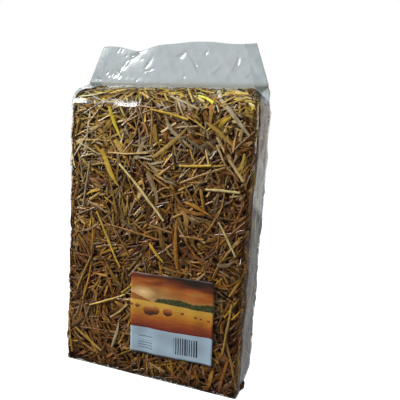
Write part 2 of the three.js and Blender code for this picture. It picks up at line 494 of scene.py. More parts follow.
class Shader:
    """Adds and joins the nodes of one material."""

    def __init__(self, name: str) -> None:
        """Starts an empty material with an output node.

        Args:
            name: The material's name.
        """
        self.material = bpy.data.materials.new(name)
        self.material.use_nodes = True
        self.tree = self.material.node_tree
        self.tree.nodes.clear()
        self.output = self.tree.nodes.new("ShaderNodeOutputMaterial")

    def node(self, kind: str, inputs: dict | None = None, **settings: object) -> bpy.types.Node:
        """Adds a node.

        Args:
            kind: The node's type, without its ShaderNode prefix.
            inputs: Values or sockets for its inputs, by name or number.
            **settings: Values for the node's own properties.

        Returns:
            The node.
        """
        made = self.tree.nodes.new("ShaderNode" + kind)
        for key, value in settings.items():
            setattr(made, key, value)
        for key, value in (inputs or {}).items():
            if isinstance(value, Socket):
                self.tree.links.new(value, made.inputs[key])
            else:
                made.inputs[key].default_value = value
        return made

    def math(self, operation: str, *values: Socket | float) -> Socket:
        """The result of a Math node on up to three values or sockets."""
        return self.node("Math", dict(enumerate(values)), operation=operation).outputs[0]

    def scaled(self, value: Socket | float, scale: Socket | float, shift: Socket | float) -> Socket:
        """A value times a scale, plus a shift."""
        return self.math("MULTIPLY_ADD", value, scale, shift)

    def mix(
        self, share: Socket | float, first: Socket | tuple, second: Socket | tuple, blend: str = "MIX"
    ) -> Socket:
        """The colour that a Mix node makes of two colours.

        Args:
            share: How much of the second colour there is.
            first: The first colour.
            second: The second colour.
            blend: How they are blended.

        Returns:
            The mixed colour.
        """
        made = self.node("Mix", data_type="RGBA", blend_type=blend)
        for index, value in ((0, share), (6, first), (7, second)):
            if isinstance(value, Socket):
                self.tree.links.new(value, made.inputs[index])
            else:
                made.inputs[index].default_value = value
        return made.outputs[2]

    def below(self, value: Socket, limit: Socket | float) -> Socket:
        """1 where a value is below a limit, and 0 elsewhere."""
        return self.math("LESS_THAN", value, limit)

    def stored(self, name: str, output: str = "Fac") -> Socket:
        """What a piece stores for its vertices under a name."""
        return self.node("Attribute", attribute_name=name).outputs[output]

    def place(self) -> Socket:
        """Where a point is on its object."""
        return self.node("TexCoord").outputs["Object"]

    def bump(self, strength: Socket | float, distance: float, height: Socket) -> Socket:
        """The normal of a surface with a relief."""
        inputs = {"Strength": strength, "Distance": distance, "Height": height}
        return self.node("Bump", inputs).outputs[0]

    def coat(self, colour: Socket, roughness: Socket | float, normal: Socket, specular: float) -> Socket:
        """A plain opaque surface.

        Args:
            colour: Its colour.
            roughness: Its roughness.
            normal: Its normal.
            specular: How strongly it reflects.

        Returns:
            The surface.
        """
        inputs = {"Base Color": colour, "Roughness": roughness, "Normal": normal}
        inputs["Specular IOR Level"] = specular
        return self.node("BsdfPrincipled", inputs).outputs[0]

    def ramp(self, value: Socket, *stops: tuple) -> Socket:
        """The colour of a ramp with stops (place, colour).

        Args:
            value: What is looked up.
            *stops: A place, and a colour or a grey, for each stop.

        Returns:
            The colour.
        """
        made = self.node("ValToRGB", {0: value})
        ramp = made.color_ramp
        while len(ramp.elements) < len(stops):
            ramp.elements.new(0.5)
        for element, (place, colour) in zip(ramp.elements, stops):
            element.position = place
            element.color = rgba(colour) if isinstance(colour, tuple) else (colour,) * 3 + (1,)
        return made.outputs[0]

    def noise(self, vector: Socket, scale: float, detail: float = 2) -> Socket:
        """The grey of a noise texture."""
        return self.node("TexNoise", {"Vector": vector, "Scale": scale, "Detail": detail}).outputs[0]

    def stretched(self, vector: Socket, scale: Vec, turn: Vec = (0, 0, 0)) -> Socket:
        """A vector scaled, and turned in degrees, by a Mapping node."""
        turned = tuple(math.radians(angle) for angle in turn)
        return self.node("Mapping", {"Vector": vector, "Scale": scale, "Rotation": turned}).outputs[0]

    def finish(self, surface: Socket) -> bpy.types.Material:
        """Joins the surface to the output and returns the material."""
        self.tree.links.new(surface, self.output.inputs[0])
        return self.material


def rgba(colour: Colour) -> tuple[float, ...]:
    """A colour with full alpha."""
    return (*colour, 1.0)


@dataclass(frozen=True)
class StrawFinish:
    """Dry straw: each piece's own tint, streaked along its grain and blotched by weather."""

    name: str
    roughness: float
    streak: float
    gloss: float

    def material(self) -> bpy.types.Material:
        """Builds the material.

        Returns:
            The material.
        """
        make = Shader(self.name)
        tint, grain = make.stored("tint", "Color"), make.stored("grain", "Vector")
        fibres = make.noise(make.stretched(grain, (80, 900, 1)), 1.0, 3)
        blotch = make.noise(make.stretched(grain, (160, 160, 1)), 1.0, 2)
        dust = make.noise(make.place(), 240, 2)
        streaks = make.scaled(make.math("SUBTRACT", fibres, 0.5), self.streak, 1.0)
        shade = make.math("MULTIPLY", streaks, make.ramp(blotch, (0.32, 0.72), (0.62, 1.06)))
        shade = make.math("MULTIPLY", shade, make.ramp(dust, (0.3, 0.86), (0.7, 1.1)))
        browner = make.math("POWER", shade, 1.2)
        browned = make.node("CombineColor", {0: shade, 1: browner, 2: make.math("POWER", shade, 1.6)})
        colour = make.mix(1.0, tint, browned.outputs[0], "MULTIPLY")
        rough = make.scaled(blotch, 0.25, self.roughness - 0.12)
        relief = make.bump(0.35, 0.2 * MM, fibres)
        return make.finish(make.coat(colour, rough, relief, self.gloss))


@dataclass(frozen=True)
class CoreFinish:
    """The pressed middle, seen only down the gaps, its near black colour painted shade."""

    name: str = "pressed_middle"
    # Near black to dark brown: painted shade of the deep gaps.
    darkest: Colour = (0.012, 0.003, 0.001)
    lightest: Colour = (0.06, 0.022, 0.005)
    roughness: float = 0.85
    gloss: float = 0.1

    def material(self) -> bpy.types.Material:
        """Builds the material.

        Returns:
            The material.
        """
        make = Shader(self.name)
        strands = make.noise(make.stretched(make.place(), (60, 60, 420), (20, 35, 0)), 1.0, 3)
        colour = make.ramp(strands, (0.3, self.darkest), (0.7, self.lightest))
        relief = make.bump(0.8, 1.5 * MM, strands)
        return make.finish(make.coat(colour, self.roughness, relief, self.gloss))


@dataclass(frozen=True)
class FilmFinish:
    """Clear thin polythene: tinted where seen through, mirror-bright where it catches light."""

    name: str = "clear_film"
    clear: Colour = (0.984, 0.987, 0.988)
    hazy: Colour = (0.825, 0.846, 0.852)
    bunched: Colour = (0.72, 0.71, 0.67)
    dull: float = 0.2
    glossy: float = 0.09
    faint: float = 0.18
    relief: float = 0.25
    flat_relief: float = 0.04
    index: float = 1.4

    def material(self) -> bpy.types.Material:
        """Builds the material.

        Returns:
            The material.
        """
        make = Shader(self.name)
        pulls = make.noise(make.stretched(make.place(), (130, 130, 85), (0, 25, 0)), 1.0, 3)
        height = make.scaled(make.noise(make.place(), 420, 2), 0.25, pulls)
        gloss, haze = make.stored("gloss"), make.stored("haze")
        strength = make.scaled(gloss, self.flat_relief - self.relief, self.relief)
        relief = make.bump(strength, 0.7 * MM, height)
        rough = make.scaled(gloss, self.glossy - self.dull, self.dull)
        white = rgba((1, 1, 1))
        mirror = make.node("BsdfGlossy", {"Color": white, "Roughness": rough, "Normal": relief})
        thin = make.mix(haze, rgba(self.clear), rgba(self.hazy))
        tint = make.mix(make.math("SUBTRACT", haze, 1), thin, rgba(self.bunched))
        clear = make.node("BsdfTransparent", {"Color": tint})
        behind = make.node("NewGeometry").outputs["Backfacing"]
        index = make.scaled(behind, 1 / self.index - self.index, self.index)
        facing = make.node("Fresnel", {"IOR": index, "Normal": relief})
        shine = make.math("MULTIPLY", facing.outputs[0], make.scaled(gloss, 1 - self.faint, self.faint))
        both = make.node("MixShader", {0: shine, 1: clear.outputs[0], 2: mirror.outputs[0]})
        return make.finish(both.outputs[0])


class LabelPrint(Shader):
    """What is printed on the label, over its own map: u to the right and v upwards."""

    def __init__(self, name: str) -> None:
        """Starts the material and reads the map.

        Args:
            name: The material's name.
        """
        super().__init__(name)
        self.flat = self.node("UVMap", uv_map=ATLAS_MAP).outputs[0]
        parts = self.node("SeparateXYZ", {0: self.flat})
        self.u, self.v = parts.outputs[0], parts.outputs[1]

    def speckle(self, scale: Vec, turn: Vec = (0, 0, 0), detail: float = 4) -> Socket:
        """A noise over the map."""
        return self.noise(self.stretched(self.flat, scale, turn), 1.0, detail)

    def squares(self, first: Socket, second: Socket) -> Socket:
        """The sum of two squares."""
        return self.math("ADD", self.math("POWER", first, 2), self.math("POWER", second, 2))

    def within(self, value: Socket, low: float, high: float) -> Socket:
        """1 between two limits, and 0 outside them."""
        return self.math("MULTIPLY", self.math("GREATER_THAN", value, low), self.below(value, high))

    def sky(self) -> Socket:
        """A warm sky: streaked, pale low on the left, nearly black in the upper right.

        Returns:
            The picture so far.
        """
        drift = self.speckle((2.4, 11, 1), (0, 0, -14))
        tilt = self.scaled(self.u, 0.11, -0.055)
        lifted = self.math("ADD", self.v, self.scaled(drift, 0.34, -0.17))
        sky = self.ramp(
            self.math("ADD", lifted, tilt),
            (0.68, (0.50, 0.30, 0.11)),
            (0.78, (0.42, 0.175, 0.04)),
            (0.85, (0.37, 0.095, 0.010)),
            (0.92, (0.14, 0.028, 0.006)),
            (0.99, (0.020, 0.008, 0.003)),
        )
        away = self.squares(self.scaled(self.u, 2.6, -0.40), self.scaled(self.v, 6.0, -4.62))
        glow = self.ramp(self.math("SQRT", away), (0.0, 0.95), (0.12, 0.6), (0.45, 0.0))
        return self.mix(glow, sky, rgba((0.98, 0.70, 0.32)))

    def hills(self, under: Socket) -> Socket:
        """A brown hill on the left and a green wooded one from the middle to the right.

        Args:
            under: The picture so far.

        Returns:
            The picture with the hills.
        """
        rough = self.speckle((24, 3, 1))
        brown_top = self.scaled(self.u, -0.33, 0.755)
        brown_top = self.math("ADD", brown_top, self.scaled(rough, 0.03, -0.015))
        colour = self.mix(self.below(self.v, brown_top), under, rgba((0.30, 0.10, 0.016)))
        rise = self.scaled(self.u, 0.9, 0.42)
        wave = self.math("MULTIPLY", self.math("SINE", self.scaled(self.u, 13.0, 0.8)), 0.012)
        crown = self.math("ADD", self.math("MINIMUM", rise, 0.722), wave)
        crown = self.math("ADD", crown, self.scaled(rough, 0.05, -0.03))
        leaves = self.speckle((55, 55, 1), detail=3)
        green = self.ramp(leaves, (0.35, (0.006, 0.010, 0.003)), (0.68, (0.10, 0.11, 0.022)))
        return self.mix(self.below(self.v, crown), colour, green)

    def field(self, under: Socket) -> Socket:
        """A field of stubble rows, gold in the distance and red-brown near by.

        Args:
            under: The picture so far.

        Returns:
            The picture with the field.
        """
        furrow = self.speckle((7, 75, 1), (0, 0, 3))
        field = self.ramp(
            self.math("ADD", self.v, self.scaled(furrow, 0.16, -0.08)),
            (0.34, (0.16, 0.020, 0.008)),
            (0.43, (0.36, 0.075, 0.012)),
            (0.52, (0.55, 0.21, 0.018)),
            (0.62, (0.62, 0.35, 0.055)),
        )
        edge = self.scaled(self.u, -0.035, 0.672)
        return self.mix(self.below(self.v, edge), under, field)

    def bale(self, under: Socket, centre_u: float, centre_v: float, size: float) -> Socket:
        """A round bale: a rough flattened disc, lit along its top.

        Args:
            under: The picture so far.
            centre_u: Its middle across.
            centre_v: Its middle upwards.
            size: Half its width.

        Returns:
            The picture with the bale.
        """
        rough = self.math("SUBTRACT", self.speckle((45, 60, 1), detail=3), 0.5)
        across = self.math("DIVIDE", self.math("SUBTRACT", self.u, centre_u), size)
        rise = self.math("DIVIDE", self.math("SUBTRACT", self.v, centre_v), size * 0.85)
        lit = self.ramp(
            self.math("ADD", self.scaled(rise, 0.5, 0.5), rough),
            (0.2, (0.05, 0.010, 0.006)),
            (0.6, (0.30, 0.085, 0.012)),
            (1.0, (0.62, 0.27, 0.06)),
        )
        inside = self.below(self.math("ADD", self.squares(across, rise), rough), 1.0)
        return self.mix(inside, under, lit)

    def panel(self) -> Socket:
        """The pale panel: a block of uneven upright bars and a few plain rules, saying nothing.

        Returns:
            The panel's colour.
        """
        paper = rgba((0.385, 0.505, 0.60))
        ink = rgba((0.018, 0.02, 0.045))
        step = self.math("MULTIPLY", self.u, 37)
        column = self.math("FLOOR", step)
        chance = self.node("TexWhiteNoise", {"W": column}, noise_dimensions="1D").outputs[0]
        window = self.math("MULTIPLY", self.within(self.u, 0.545, 0.83), self.within(self.v, 0.06, 0.27))
        inked = self.below(self.math("FRACT", step), self.scaled(chance, 0.5, 0.3))
        colour = self.mix(self.math("MULTIPLY", inked, window), paper, ink)
        rows = self.below(self.math("FRACT", self.math("MULTIPLY", self.v, 31)), 0.38)
        column = self.within(self.u, 0.10, 0.28)
        lines = self.math("MULTIPLY", column, self.within(self.v, 0.055, 0.165))
        rule = self.math("MULTIPLY", column, self.within(self.v, 0.205, 0.217))
        marks = self.math("MAXIMUM", self.math("MULTIPLY", rows, lines), rule)
        return self.mix(self.math("MULTIPLY", marks, 0.6), colour, ink)


@dataclass(frozen=True)
class LabelFinish:
    """Coated paper printed with a plain sunset over a stubble field, above a pale panel."""

    name: str = "label_print"
    panel_top: float = 0.325
    roughness: float = 0.42

    # Round bales on the printed field: middle across, middle up, and size.
    BALES = (
        (0.235, 0.550, 0.072),
        (0.300, 0.562, 0.062),
        (0.465, 0.564, 0.058),
        (0.090, 0.600, 0.030),
        (0.015, 0.606, 0.022),
        (0.640, 0.572, 0.022),
        (0.800, 0.556, 0.018),
        (0.860, 0.550, 0.014),
        (0.950, 0.535, 0.018),
    )

    def material(self) -> bpy.types.Material:
        """Builds the material.

        Returns:
            The material.
        """
        make = LabelPrint(self.name)
        picture = make.field(make.hills(make.sky()))
        for bale in self.BALES:
            picture = make.bale(picture, *bale)
        above = make.math("GREATER_THAN", make.v, self.panel_top)
        colour = make.mix(above, make.panel(), picture)
        relief = make.bump(0.08, 0.1 * MM, make.noise(make.flat, 130, 2))
        return make.finish(make.coat(colour, self.roughness, relief, 0.5))


# ---------------------------------------------------------------- straws


@dataclass(frozen=True)
class Prototype:
    """One modelled straw, kept as arrays: unit length along x, unit width y, unit thickness z."""

    points: Array
    faces: list[tuple[int, ...]]
    corner_map: Array

    @classmethod
    def from_object(cls, piece: Piece) -> "Prototype":
        """Takes the shape of a modelled straw, lays out its own map, and removes the object.

        Args:
            piece: The modelled straw, which is removed.

        Returns:
            Its arrays.
        """
        select_only(piece)
        edit_all()
        bpy.ops.mesh.normals_make_consistent(inside=False)
        bpy.ops.uv.smart_project(angle_limit=1.15, island_margin=0.02, scale_to_bounds=True)
        bpy.ops.object.mode_set(mode="OBJECT")
        points = read_points(piece)
        low, high = points.min(0), points.max(0)
        points = (points - (low + high) / 2) / (high - low)
        faces = [tuple(face.vertices) for face in piece.data.polygons]
        layout = np.empty(len(piece.data.loops) * 2)
        piece.data.uv_layers[0].data.foreach_get("uv", layout)
        mesh = piece.data
        bpy.data.objects.remove(piece)
        bpy.data.meshes.remove(mesh)
        return cls(points, faces, layout.reshape(-1, 2))


class StrawBench:
    """Models the straws that everything else copies."""

    @staticmethod
    def drawn_out(sides: int, widths: tuple[float, ...], flatness: float, hollow: bool) -> Piece:
        """A rod drawn out of a circle, step by step along x.

        Args:
            sides: Sides of its section.
            widths: Width at each step, relative to the first circle.
            flatness: Thickness over width.
            hollow: Whether the two ends are pushed in as a cut stem's are.

        Returns:
            The modelled rod.
        """
        deselect_all()
        step = 10 / (len(widths) - 1)
        bpy.ops.mesh.primitive_circle_add(
            vertices=sides, radius=0.5, fill_type="NGON", rotation=(0, math.pi / 2, 0)
        )
        rod = named("straw_pattern")
        bpy.ops.object.transform_apply(location=True, rotation=True, scale=True)
        edit_all()
        bpy.ops.transform.resize(value=(1, widths[0], widths[0]), center_override=(0, 0, 0))
        for index in range(1, len(widths)):
            ratio = widths[index] / widths[index - 1]
            bpy.ops.mesh.extrude_region_move(TRANSFORM_OT_translate={"value": (step, 0, 0)})
            centre = (step * index, 0, 0)
            bpy.ops.transform.resize(value=(1, ratio, ratio), center_override=centre)
        if hollow:
            pick(rod, "faces", lambda face: abs(face.normal.x) > 0.9)
            bpy.ops.mesh.inset(thickness=0.13, depth=-0.02, use_individual=True)
            bpy.ops.mesh.inset(thickness=0.02, depth=-0.35, use_individual=True)
        bpy.ops.mesh.select_all(action="SELECT")
        bpy.ops.transform.resize(value=(1, 1, flatness), center_override=(0, 0, 0))
        bpy.ops.object.mode_set(mode="OBJECT")
        return rod

    @staticmethod
    def trough(segments: int, arc_sides: int, wall: float) -> Piece:
        """A stem split lengthwise: half a tube with a wall.

        Args:
            segments: Steps along it.
            arc_sides: Sides of its half round.
            wall: Thickness of its wall, negative for outwards.

        Returns:
            The modelled stem.
        """
        deselect_all()
        bpy.ops.mesh.primitive_circle_add(
            vertices=arc_sides * 2, radius=0.5, fill_type="NOTHING", rotation=(0, math.pi / 2, 0)
        )
        trough = named("straw_pattern")
        bpy.ops.object.transform_apply(location=True, rotation=True, scale=True)
        bpy.ops.object.mode_set(mode="EDIT")
        pick(trough, "verts", lambda vert: vert.co.z < -0.01)
        bpy.ops.mesh.delete(type="VERT")
        bpy.ops.mesh.select_all(action="SELECT")
        for _ in range(segments):
            bpy.ops.mesh.extrude_edges_move(TRANSFORM_OT_translate={"value": (10 / segments, 0, 0)})
        bpy.ops.mesh.select_all(action="SELECT")
        bpy.ops.mesh.normals_make_consistent(inside=False)
        bpy.ops.object.mode_set(mode="OBJECT")
        thicken(trough, wall, -1)
        return trough

    @staticmethod
    def husk() -> Piece:
        """A grain husk: a small ball drawn to a point.

        Returns:
            The modelled husk.
        """
        deselect_all()
        bpy.ops.mesh.primitive_ico_sphere_add(subdivisions=1, radius=0.5)
        husk = named("straw_pattern")
        bpy.ops.object.mode_set(mode="EDIT")
        pick(husk, "verts", lambda vert: vert.co.z > 0.1)
        bpy.ops.transform.translate(value=(0, 0, 0.35))
        bpy.ops.transform.resize(value=(0.6, 0.6, 1), center_override=(0, 0, 0.6))
        bpy.ops.mesh.select_all(action="SELECT")
        bpy.ops.transform.rotate(value=math.pi / 2, orient_axis="Y", center_override=(0, 0, 0))
        bpy.ops.object.mode_set(mode="OBJECT")
        return husk

    @classmethod
    def patterns(cls) -> dict[StrawKind, list[Prototype]]:
        """The patterns of the small straws, a few of each kind.

        Returns:
            The patterns, by kind.
        """
        modelled = {
            StrawKind.PRESSED_STEM: [
                cls.drawn_out(6, (0.92, 1.0, 0.95), 0.5, True),
                cls.drawn_out(6, (0.86, 0.9, 1.12, 0.9), 0.62, False),
                cls.drawn_out(5, (1.0, 0.96, 0.8), 0.42, False),
            ],
            StrawKind.SPLIT_STEM: [cls.trough(2, 3, -0.1)],
            StrawKind.LEAF_SCRAP: [
                cls.drawn_out(4, (0.6, 1.0, 0.9, 0.62, 0.08), 0.13, False),
                cls.drawn_out(4, (0.85, 1.0, 0.92, 0.5), 0.16, False),
            ],
            StrawKind.SPLINTER: [
                cls.drawn_out(4, (0.5, 1.0, 0.7), 0.5, False),
                cls.drawn_out(3, (0.9, 1.0, 0.15), 0.6, False),
            ],
            StrawKind.CHAFF: [
                cls.drawn_out(4, (0.7, 1.0, 0.5), 0.3, False),
                cls.husk(),
            ],
        }
        return {kind: [Prototype.from_object(rod) for rod in made] for kind, made in modelled.items()}


@dataclass(frozen=True)
class StrawSizes:
    """How large the pieces of one kind are, in millimetres, and how they lie."""

    length: tuple[float, float]
    width: tuple[float, float]
    flatness: float
    bend: float
    roll: float
    stiffness: float
    share: float


STRAW_SIZES = {
    StrawKind.PRESSED_STEM: StrawSizes((10, 62), (1.4, 3.9), 0.4, 0.025, 0.25, 0.75, 0.27),
    StrawKind.SPLIT_STEM: StrawSizes((9, 46), (1.9, 4.6), 0.32, 0.025, 0.45, 0.7, 0.14),
    StrawKind.LEAF_SCRAP: StrawSizes((9, 54), (2.1, 6.6), 0.12, 0.07, 0.5, 0.35, 0.26),
    StrawKind.SPLINTER: StrawSizes((7, 42), (0.6, 1.6), 0.55, 0.03, 0.5, 0.6, 0.24),
    StrawKind.CHAFF: StrawSizes((3, 9), (1.3, 3.6), 0.28, 0.0, 0.5, 0.8, 0.10),
}

# Colours of dry straw, with how common each is: olive tan, grey tan, brown, gold, cream,
# orange brown, dark brown and fresh yellow-green.
TINTS = np.array(
    [
        (0.44, 0.268, 0.056),
        (0.38, 0.305, 0.175),
        (0.29, 0.125, 0.032),
        (0.62, 0.395, 0.040),
        (0.72, 0.580, 0.250),
        (0.41, 0.175, 0.021),
        (0.10, 0.032, 0.010),
        (0.62, 0.510, 0.042),
    ]
)
TINT_SHARES = np.array([0.29, 0.20, 0.20, 0.12, 0.05, 0.07, 0.06, 0.01])


@dataclass
class Straws:
    """A batch of straws of one kind lying on one side, one row each, in metres and radians."""

    across: Array
    up: Array
    turn: Array
    length: Array
    width: Array
    thickness: Array
    roll: Array
    twist: Array
    sag: Array
    depth: Array
    tint: Array

    def chosen(self, rows: Array) -> "Straws":
        """The straws in the given rows."""
        return Straws(**{name: values[rows] for name, values in vars(self).items()})


class Pile:
    """Lays straws on one wall, from the film inwards, each against those laid before it."""

    STATIONS = 7
    CELL = 1.0 * MM
    SQUEEZE = 0.72
    STEEPEST = 0.16

    def __init__(self, wall: Wall, limit: float) -> None:
        """Starts with bare film.

        Args:
            wall: The wall that the straws lie on.
            limit: The depth past which a straw is out of sight and is left out.
        """
        self.wall = wall
        self.limit = limit
        columns = int(wall.width / self.CELL) + 2
        rows = int(wall.height / self.CELL) + 2
        self.taken = np.zeros((columns, rows))

    def cells(self, across: Array, up: Array) -> tuple[Array, Array]:
        """The cells that points lie in.

        Args:
            across: Places along the wall.
            up: Heights along the film.

        Returns:
            The columns and the rows.
        """
        column = ((across + self.wall.width / 2) / self.CELL).astype(int)
        row = (up / self.CELL).astype(int)
        columns, rows = self.taken.shape
        return np.clip(column, 0, columns - 1), np.clip(row, 0, rows - 1)

    def lay(
        self,
        across: float,
        up: float,
        turn: float,
        length: float,
        width: float,
        thickness: float,
        stiffness: float,
    ) -> Array | None:
        """Lays one straw against those laid before it.

        Args:
            across: Where its middle is along the wall.
            up: Where its middle is up the wall.
            turn: The way it points, in radians.
            length: Its length.
            width: Its width.
            thickness: Its thickness.
            stiffness: 1 for a straight straw, 0 for one that follows what lies before it.

        Returns:
            The depth of its outer face at each station, or None if it is out of sight.
        """
        ahead, aside = (math.cos(turn), math.sin(turn)), (-math.sin(turn), math.cos(turn))
        steps = np.linspace(-0.5, 0.5, self.STATIONS) * length
        lanes = np.array((-0.4, 0.0, 0.4)) * width
        along = across + steps[:, None] * ahead[0] + lanes * aside[0]
        rise = up + steps[:, None] * ahead[1] + lanes * aside[1]
        free = self.taken[self.cells(along, rise)].max(axis=1)
        half = self.STATIONS // 2
        low_end, high_end = int(free[:half + 1].argmax()), half + int(free[half:].argmax())
        if low_end == high_end:
            line = np.full(self.STATIONS, free[half])
        else:
            slope = (free[high_end] - free[low_end]) / (steps[high_end] - steps[low_end])
            slope = max(-self.STEEPEST, min(self.STEEPEST, slope))
            line = free[low_end] + slope * (steps - steps[low_end])
        line = line + max(0.0, float((free - line).max())) * 0.8
        depth = np.maximum(0, stiffness * line + (1 - stiffness) * free)
        if depth.mean() > self.limit:
            return None
        count = max(2, int(length / self.CELL))
        fine = np.linspace(-0.5, 0.5, count)
        lane_count = max(1, int(round(width / self.CELL)))
        lanes = (np.arange(lane_count) - (lane_count - 1) / 2) * self.CELL
        along = across + fine[:, None] * length * ahead[0] + lanes * aside[0]
        rise = up + fine[:, None] * length * ahead[1] + lanes * aside[1]
        behind = np.interp(fine, np.linspace(-0.5, 0.5, self.STATIONS), depth)
        behind = behind + thickness * self.SQUEEZE
        column, row = self.cells(along, rise)
        np.maximum.at(self.taken, (column, row), np.broadcast_to(behind[:, None], column.shape))
        return depth


@dataclass(frozen=True)
class StrawBatch:
    """Bent copies of one pattern, as arrays that are ready to be joined."""

    points: Array
    corners: Array
    sizes: Array
    layout: Array
    straw: Array
    tint: Array
    grain: Array
    count: int


# Painted shade on the straw: darker down the gaps, by a share between two depths, and near the
# foot, down to a share between two heights. The powers turn the painted shade redder as it darkens.
GAP_SHADE, GAP_DEPTHS = 0.74, (1.4 * MM, 7.5 * MM)
FOOT_SHADE, FOOT_HEIGHTS = 0.3, (1 * MM, 12 * MM)
SHADE_POWERS = np.array((0.8, 1.2, 1.7))
FILM_GAP, LEAST_DEPTH = 0.9 * MM, 0.7 * MM
GRAIN_STEP = 7.31


def straw_mesh(pattern: Prototype, straws: Straws, wall: Wall) -> StrawBatch:
    """Bends copies of one pattern into place.

    Args:
        pattern: The straw that is copied.
        straws: Where and how large the copies are.
        wall: The wall that they lie on.

    Returns:
        The bent copies.
    """
    a, b, c = pattern.points.T
    count = len(straws.across)
    roll = straws.roll[:, None] + straws.twist[:, None] * a
    wide = straws.width[:, None] * b
    thick = straws.thickness[:, None] * c
    along = straws.length[:, None] * a
    aside = straws.sag[:, None] * (1 - 4 * a * a) + wide * np.cos(roll) - thick * np.sin(roll)
    outward = wide * np.sin(roll) + thick * np.cos(roll)
    reach = np.abs(straws.width[:, None] * np.sin(roll))
    reach = reach + np.abs(straws.thickness[:, None] * np.cos(roll))
    stations = straws.depth.shape[1] - 1
    place = (a + 0.5) * stations
    first = np.clip(place.astype(int), 0, stations - 1)
    share = place - first
    outer = straws.depth[:, first] * (1 - share) + straws.depth[:, first + 1] * share
    depth = np.maximum(outer + FILM_GAP + reach / 2 - outward, LEAST_DEPTH)
    cos, sin = np.cos(straws.turn)[:, None], np.sin(straws.turn)[:, None]
    u = straws.across[:, None] + along * cos - aside * sin
    v = straws.up[:, None] + along * sin + aside * cos
    points = wall.shape.wrap(wall.place(u, v, depth).reshape(-1, 3))
    offsets = np.arange(count)[:, None] * len(pattern.points)
    flat = np.concatenate([np.array(face) for face in pattern.faces])
    starts = np.array([len(face) for face in pattern.faces])
    ids = np.repeat(np.arange(count), len(pattern.points))
    grain = np.stack([along.ravel(), (wide + thick).ravel(), ids * GRAIN_STEP], axis=1)
    # Painted shade: darker down the gaps and near the foot.
    shade = 1 - GAP_SHADE * smooth_step(*GAP_DEPTHS, depth.ravel())
    shade *= FOOT_SHADE + (1 - FOOT_SHADE) * smooth_step(*FOOT_HEIGHTS, points[:, 2])
    return StrawBatch(
        points=points,
        corners=(flat[None, :] + offsets).ravel(),
        sizes=np.tile(starts, count),
        layout=np.tile(pattern.corner_map, (count, 1)),
        straw=np.repeat(np.arange(count), len(flat)),
        tint=np.repeat(straws.tint, len(pattern.points), axis=0) * shade[:, None] ** SHADE_POWERS,
        grain=grain,
        count=count,
    )


def joined(name: str, batches: list[StrawBatch]) -> Piece:
    """Joins batches of straws into one piece, each straw on its own patch of the map.

    Args:
        name: The name of the piece.
        batches: What is joined.

    Returns:
        The piece.
    """

    def gathered(part: str) -> Array:
        """The arrays of one kind of all the batches, end to end."""
        return np.concatenate([getattr(batch, part) for batch in batches])

    points, sizes = gathered("points"), gathered("sizes")
    shifts = np.cumsum([0] + [len(batch.points) for batch in batches])
    corners = np.concatenate([batch.corners + shift for batch, shift in zip(batches, shifts)])
    earlier = np.cumsum([0] + [batch.count for batch in batches])
    straw = np.concatenate([batch.straw + before for batch, before in zip(batches, earlier)])
    starts = np.concatenate([[0], np.cumsum(sizes)[:-1]])
    mesh = bpy.data.meshes.new(name)
    mesh.vertices.add(len(points))
    mesh.vertices.foreach_set("co", points.astype(np.float32).ravel())
    mesh.loops.add(len(corners))
    mesh.loops.foreach_set("vertex_index", corners.astype(np.int32))
    mesh.polygons.add(len(sizes))
    mesh.polygons.foreach_set("loop_start", starts.astype(np.int32))
    mesh.polygons.foreach_set("use_smooth", np.ones(len(sizes), bool))
    across = max(1, math.ceil(math.sqrt(earlier[-1])))
    layout = gathered("layout") * (1 - 2 * MAP_MARGIN) + MAP_MARGIN
    layout = (layout + np.stack([straw % across, straw // across], axis=1)) / across
    mesh.uv_layers.new(name=ATLAS_MAP).data.foreach_set("uv", layout.astype(np.float32).ravel())
    piece = bpy.data.objects.new(name, mesh)
    tint = gathered("tint")
    store(piece, "tint", "FLOAT_COLOR", np.concatenate([tint, np.ones((len(tint), 1))], axis=1))
    store(piece, "grain", "FLOAT_VECTOR", gathered("grain"))
    mesh.update(calc_edges=True)
    mesh.validate()
    bpy.context.scene.collection.objects.link(piece)
    select_only(piece)
    bpy.ops.object.shade_smooth_by_angle(angle=math.radians(50))
    return piece


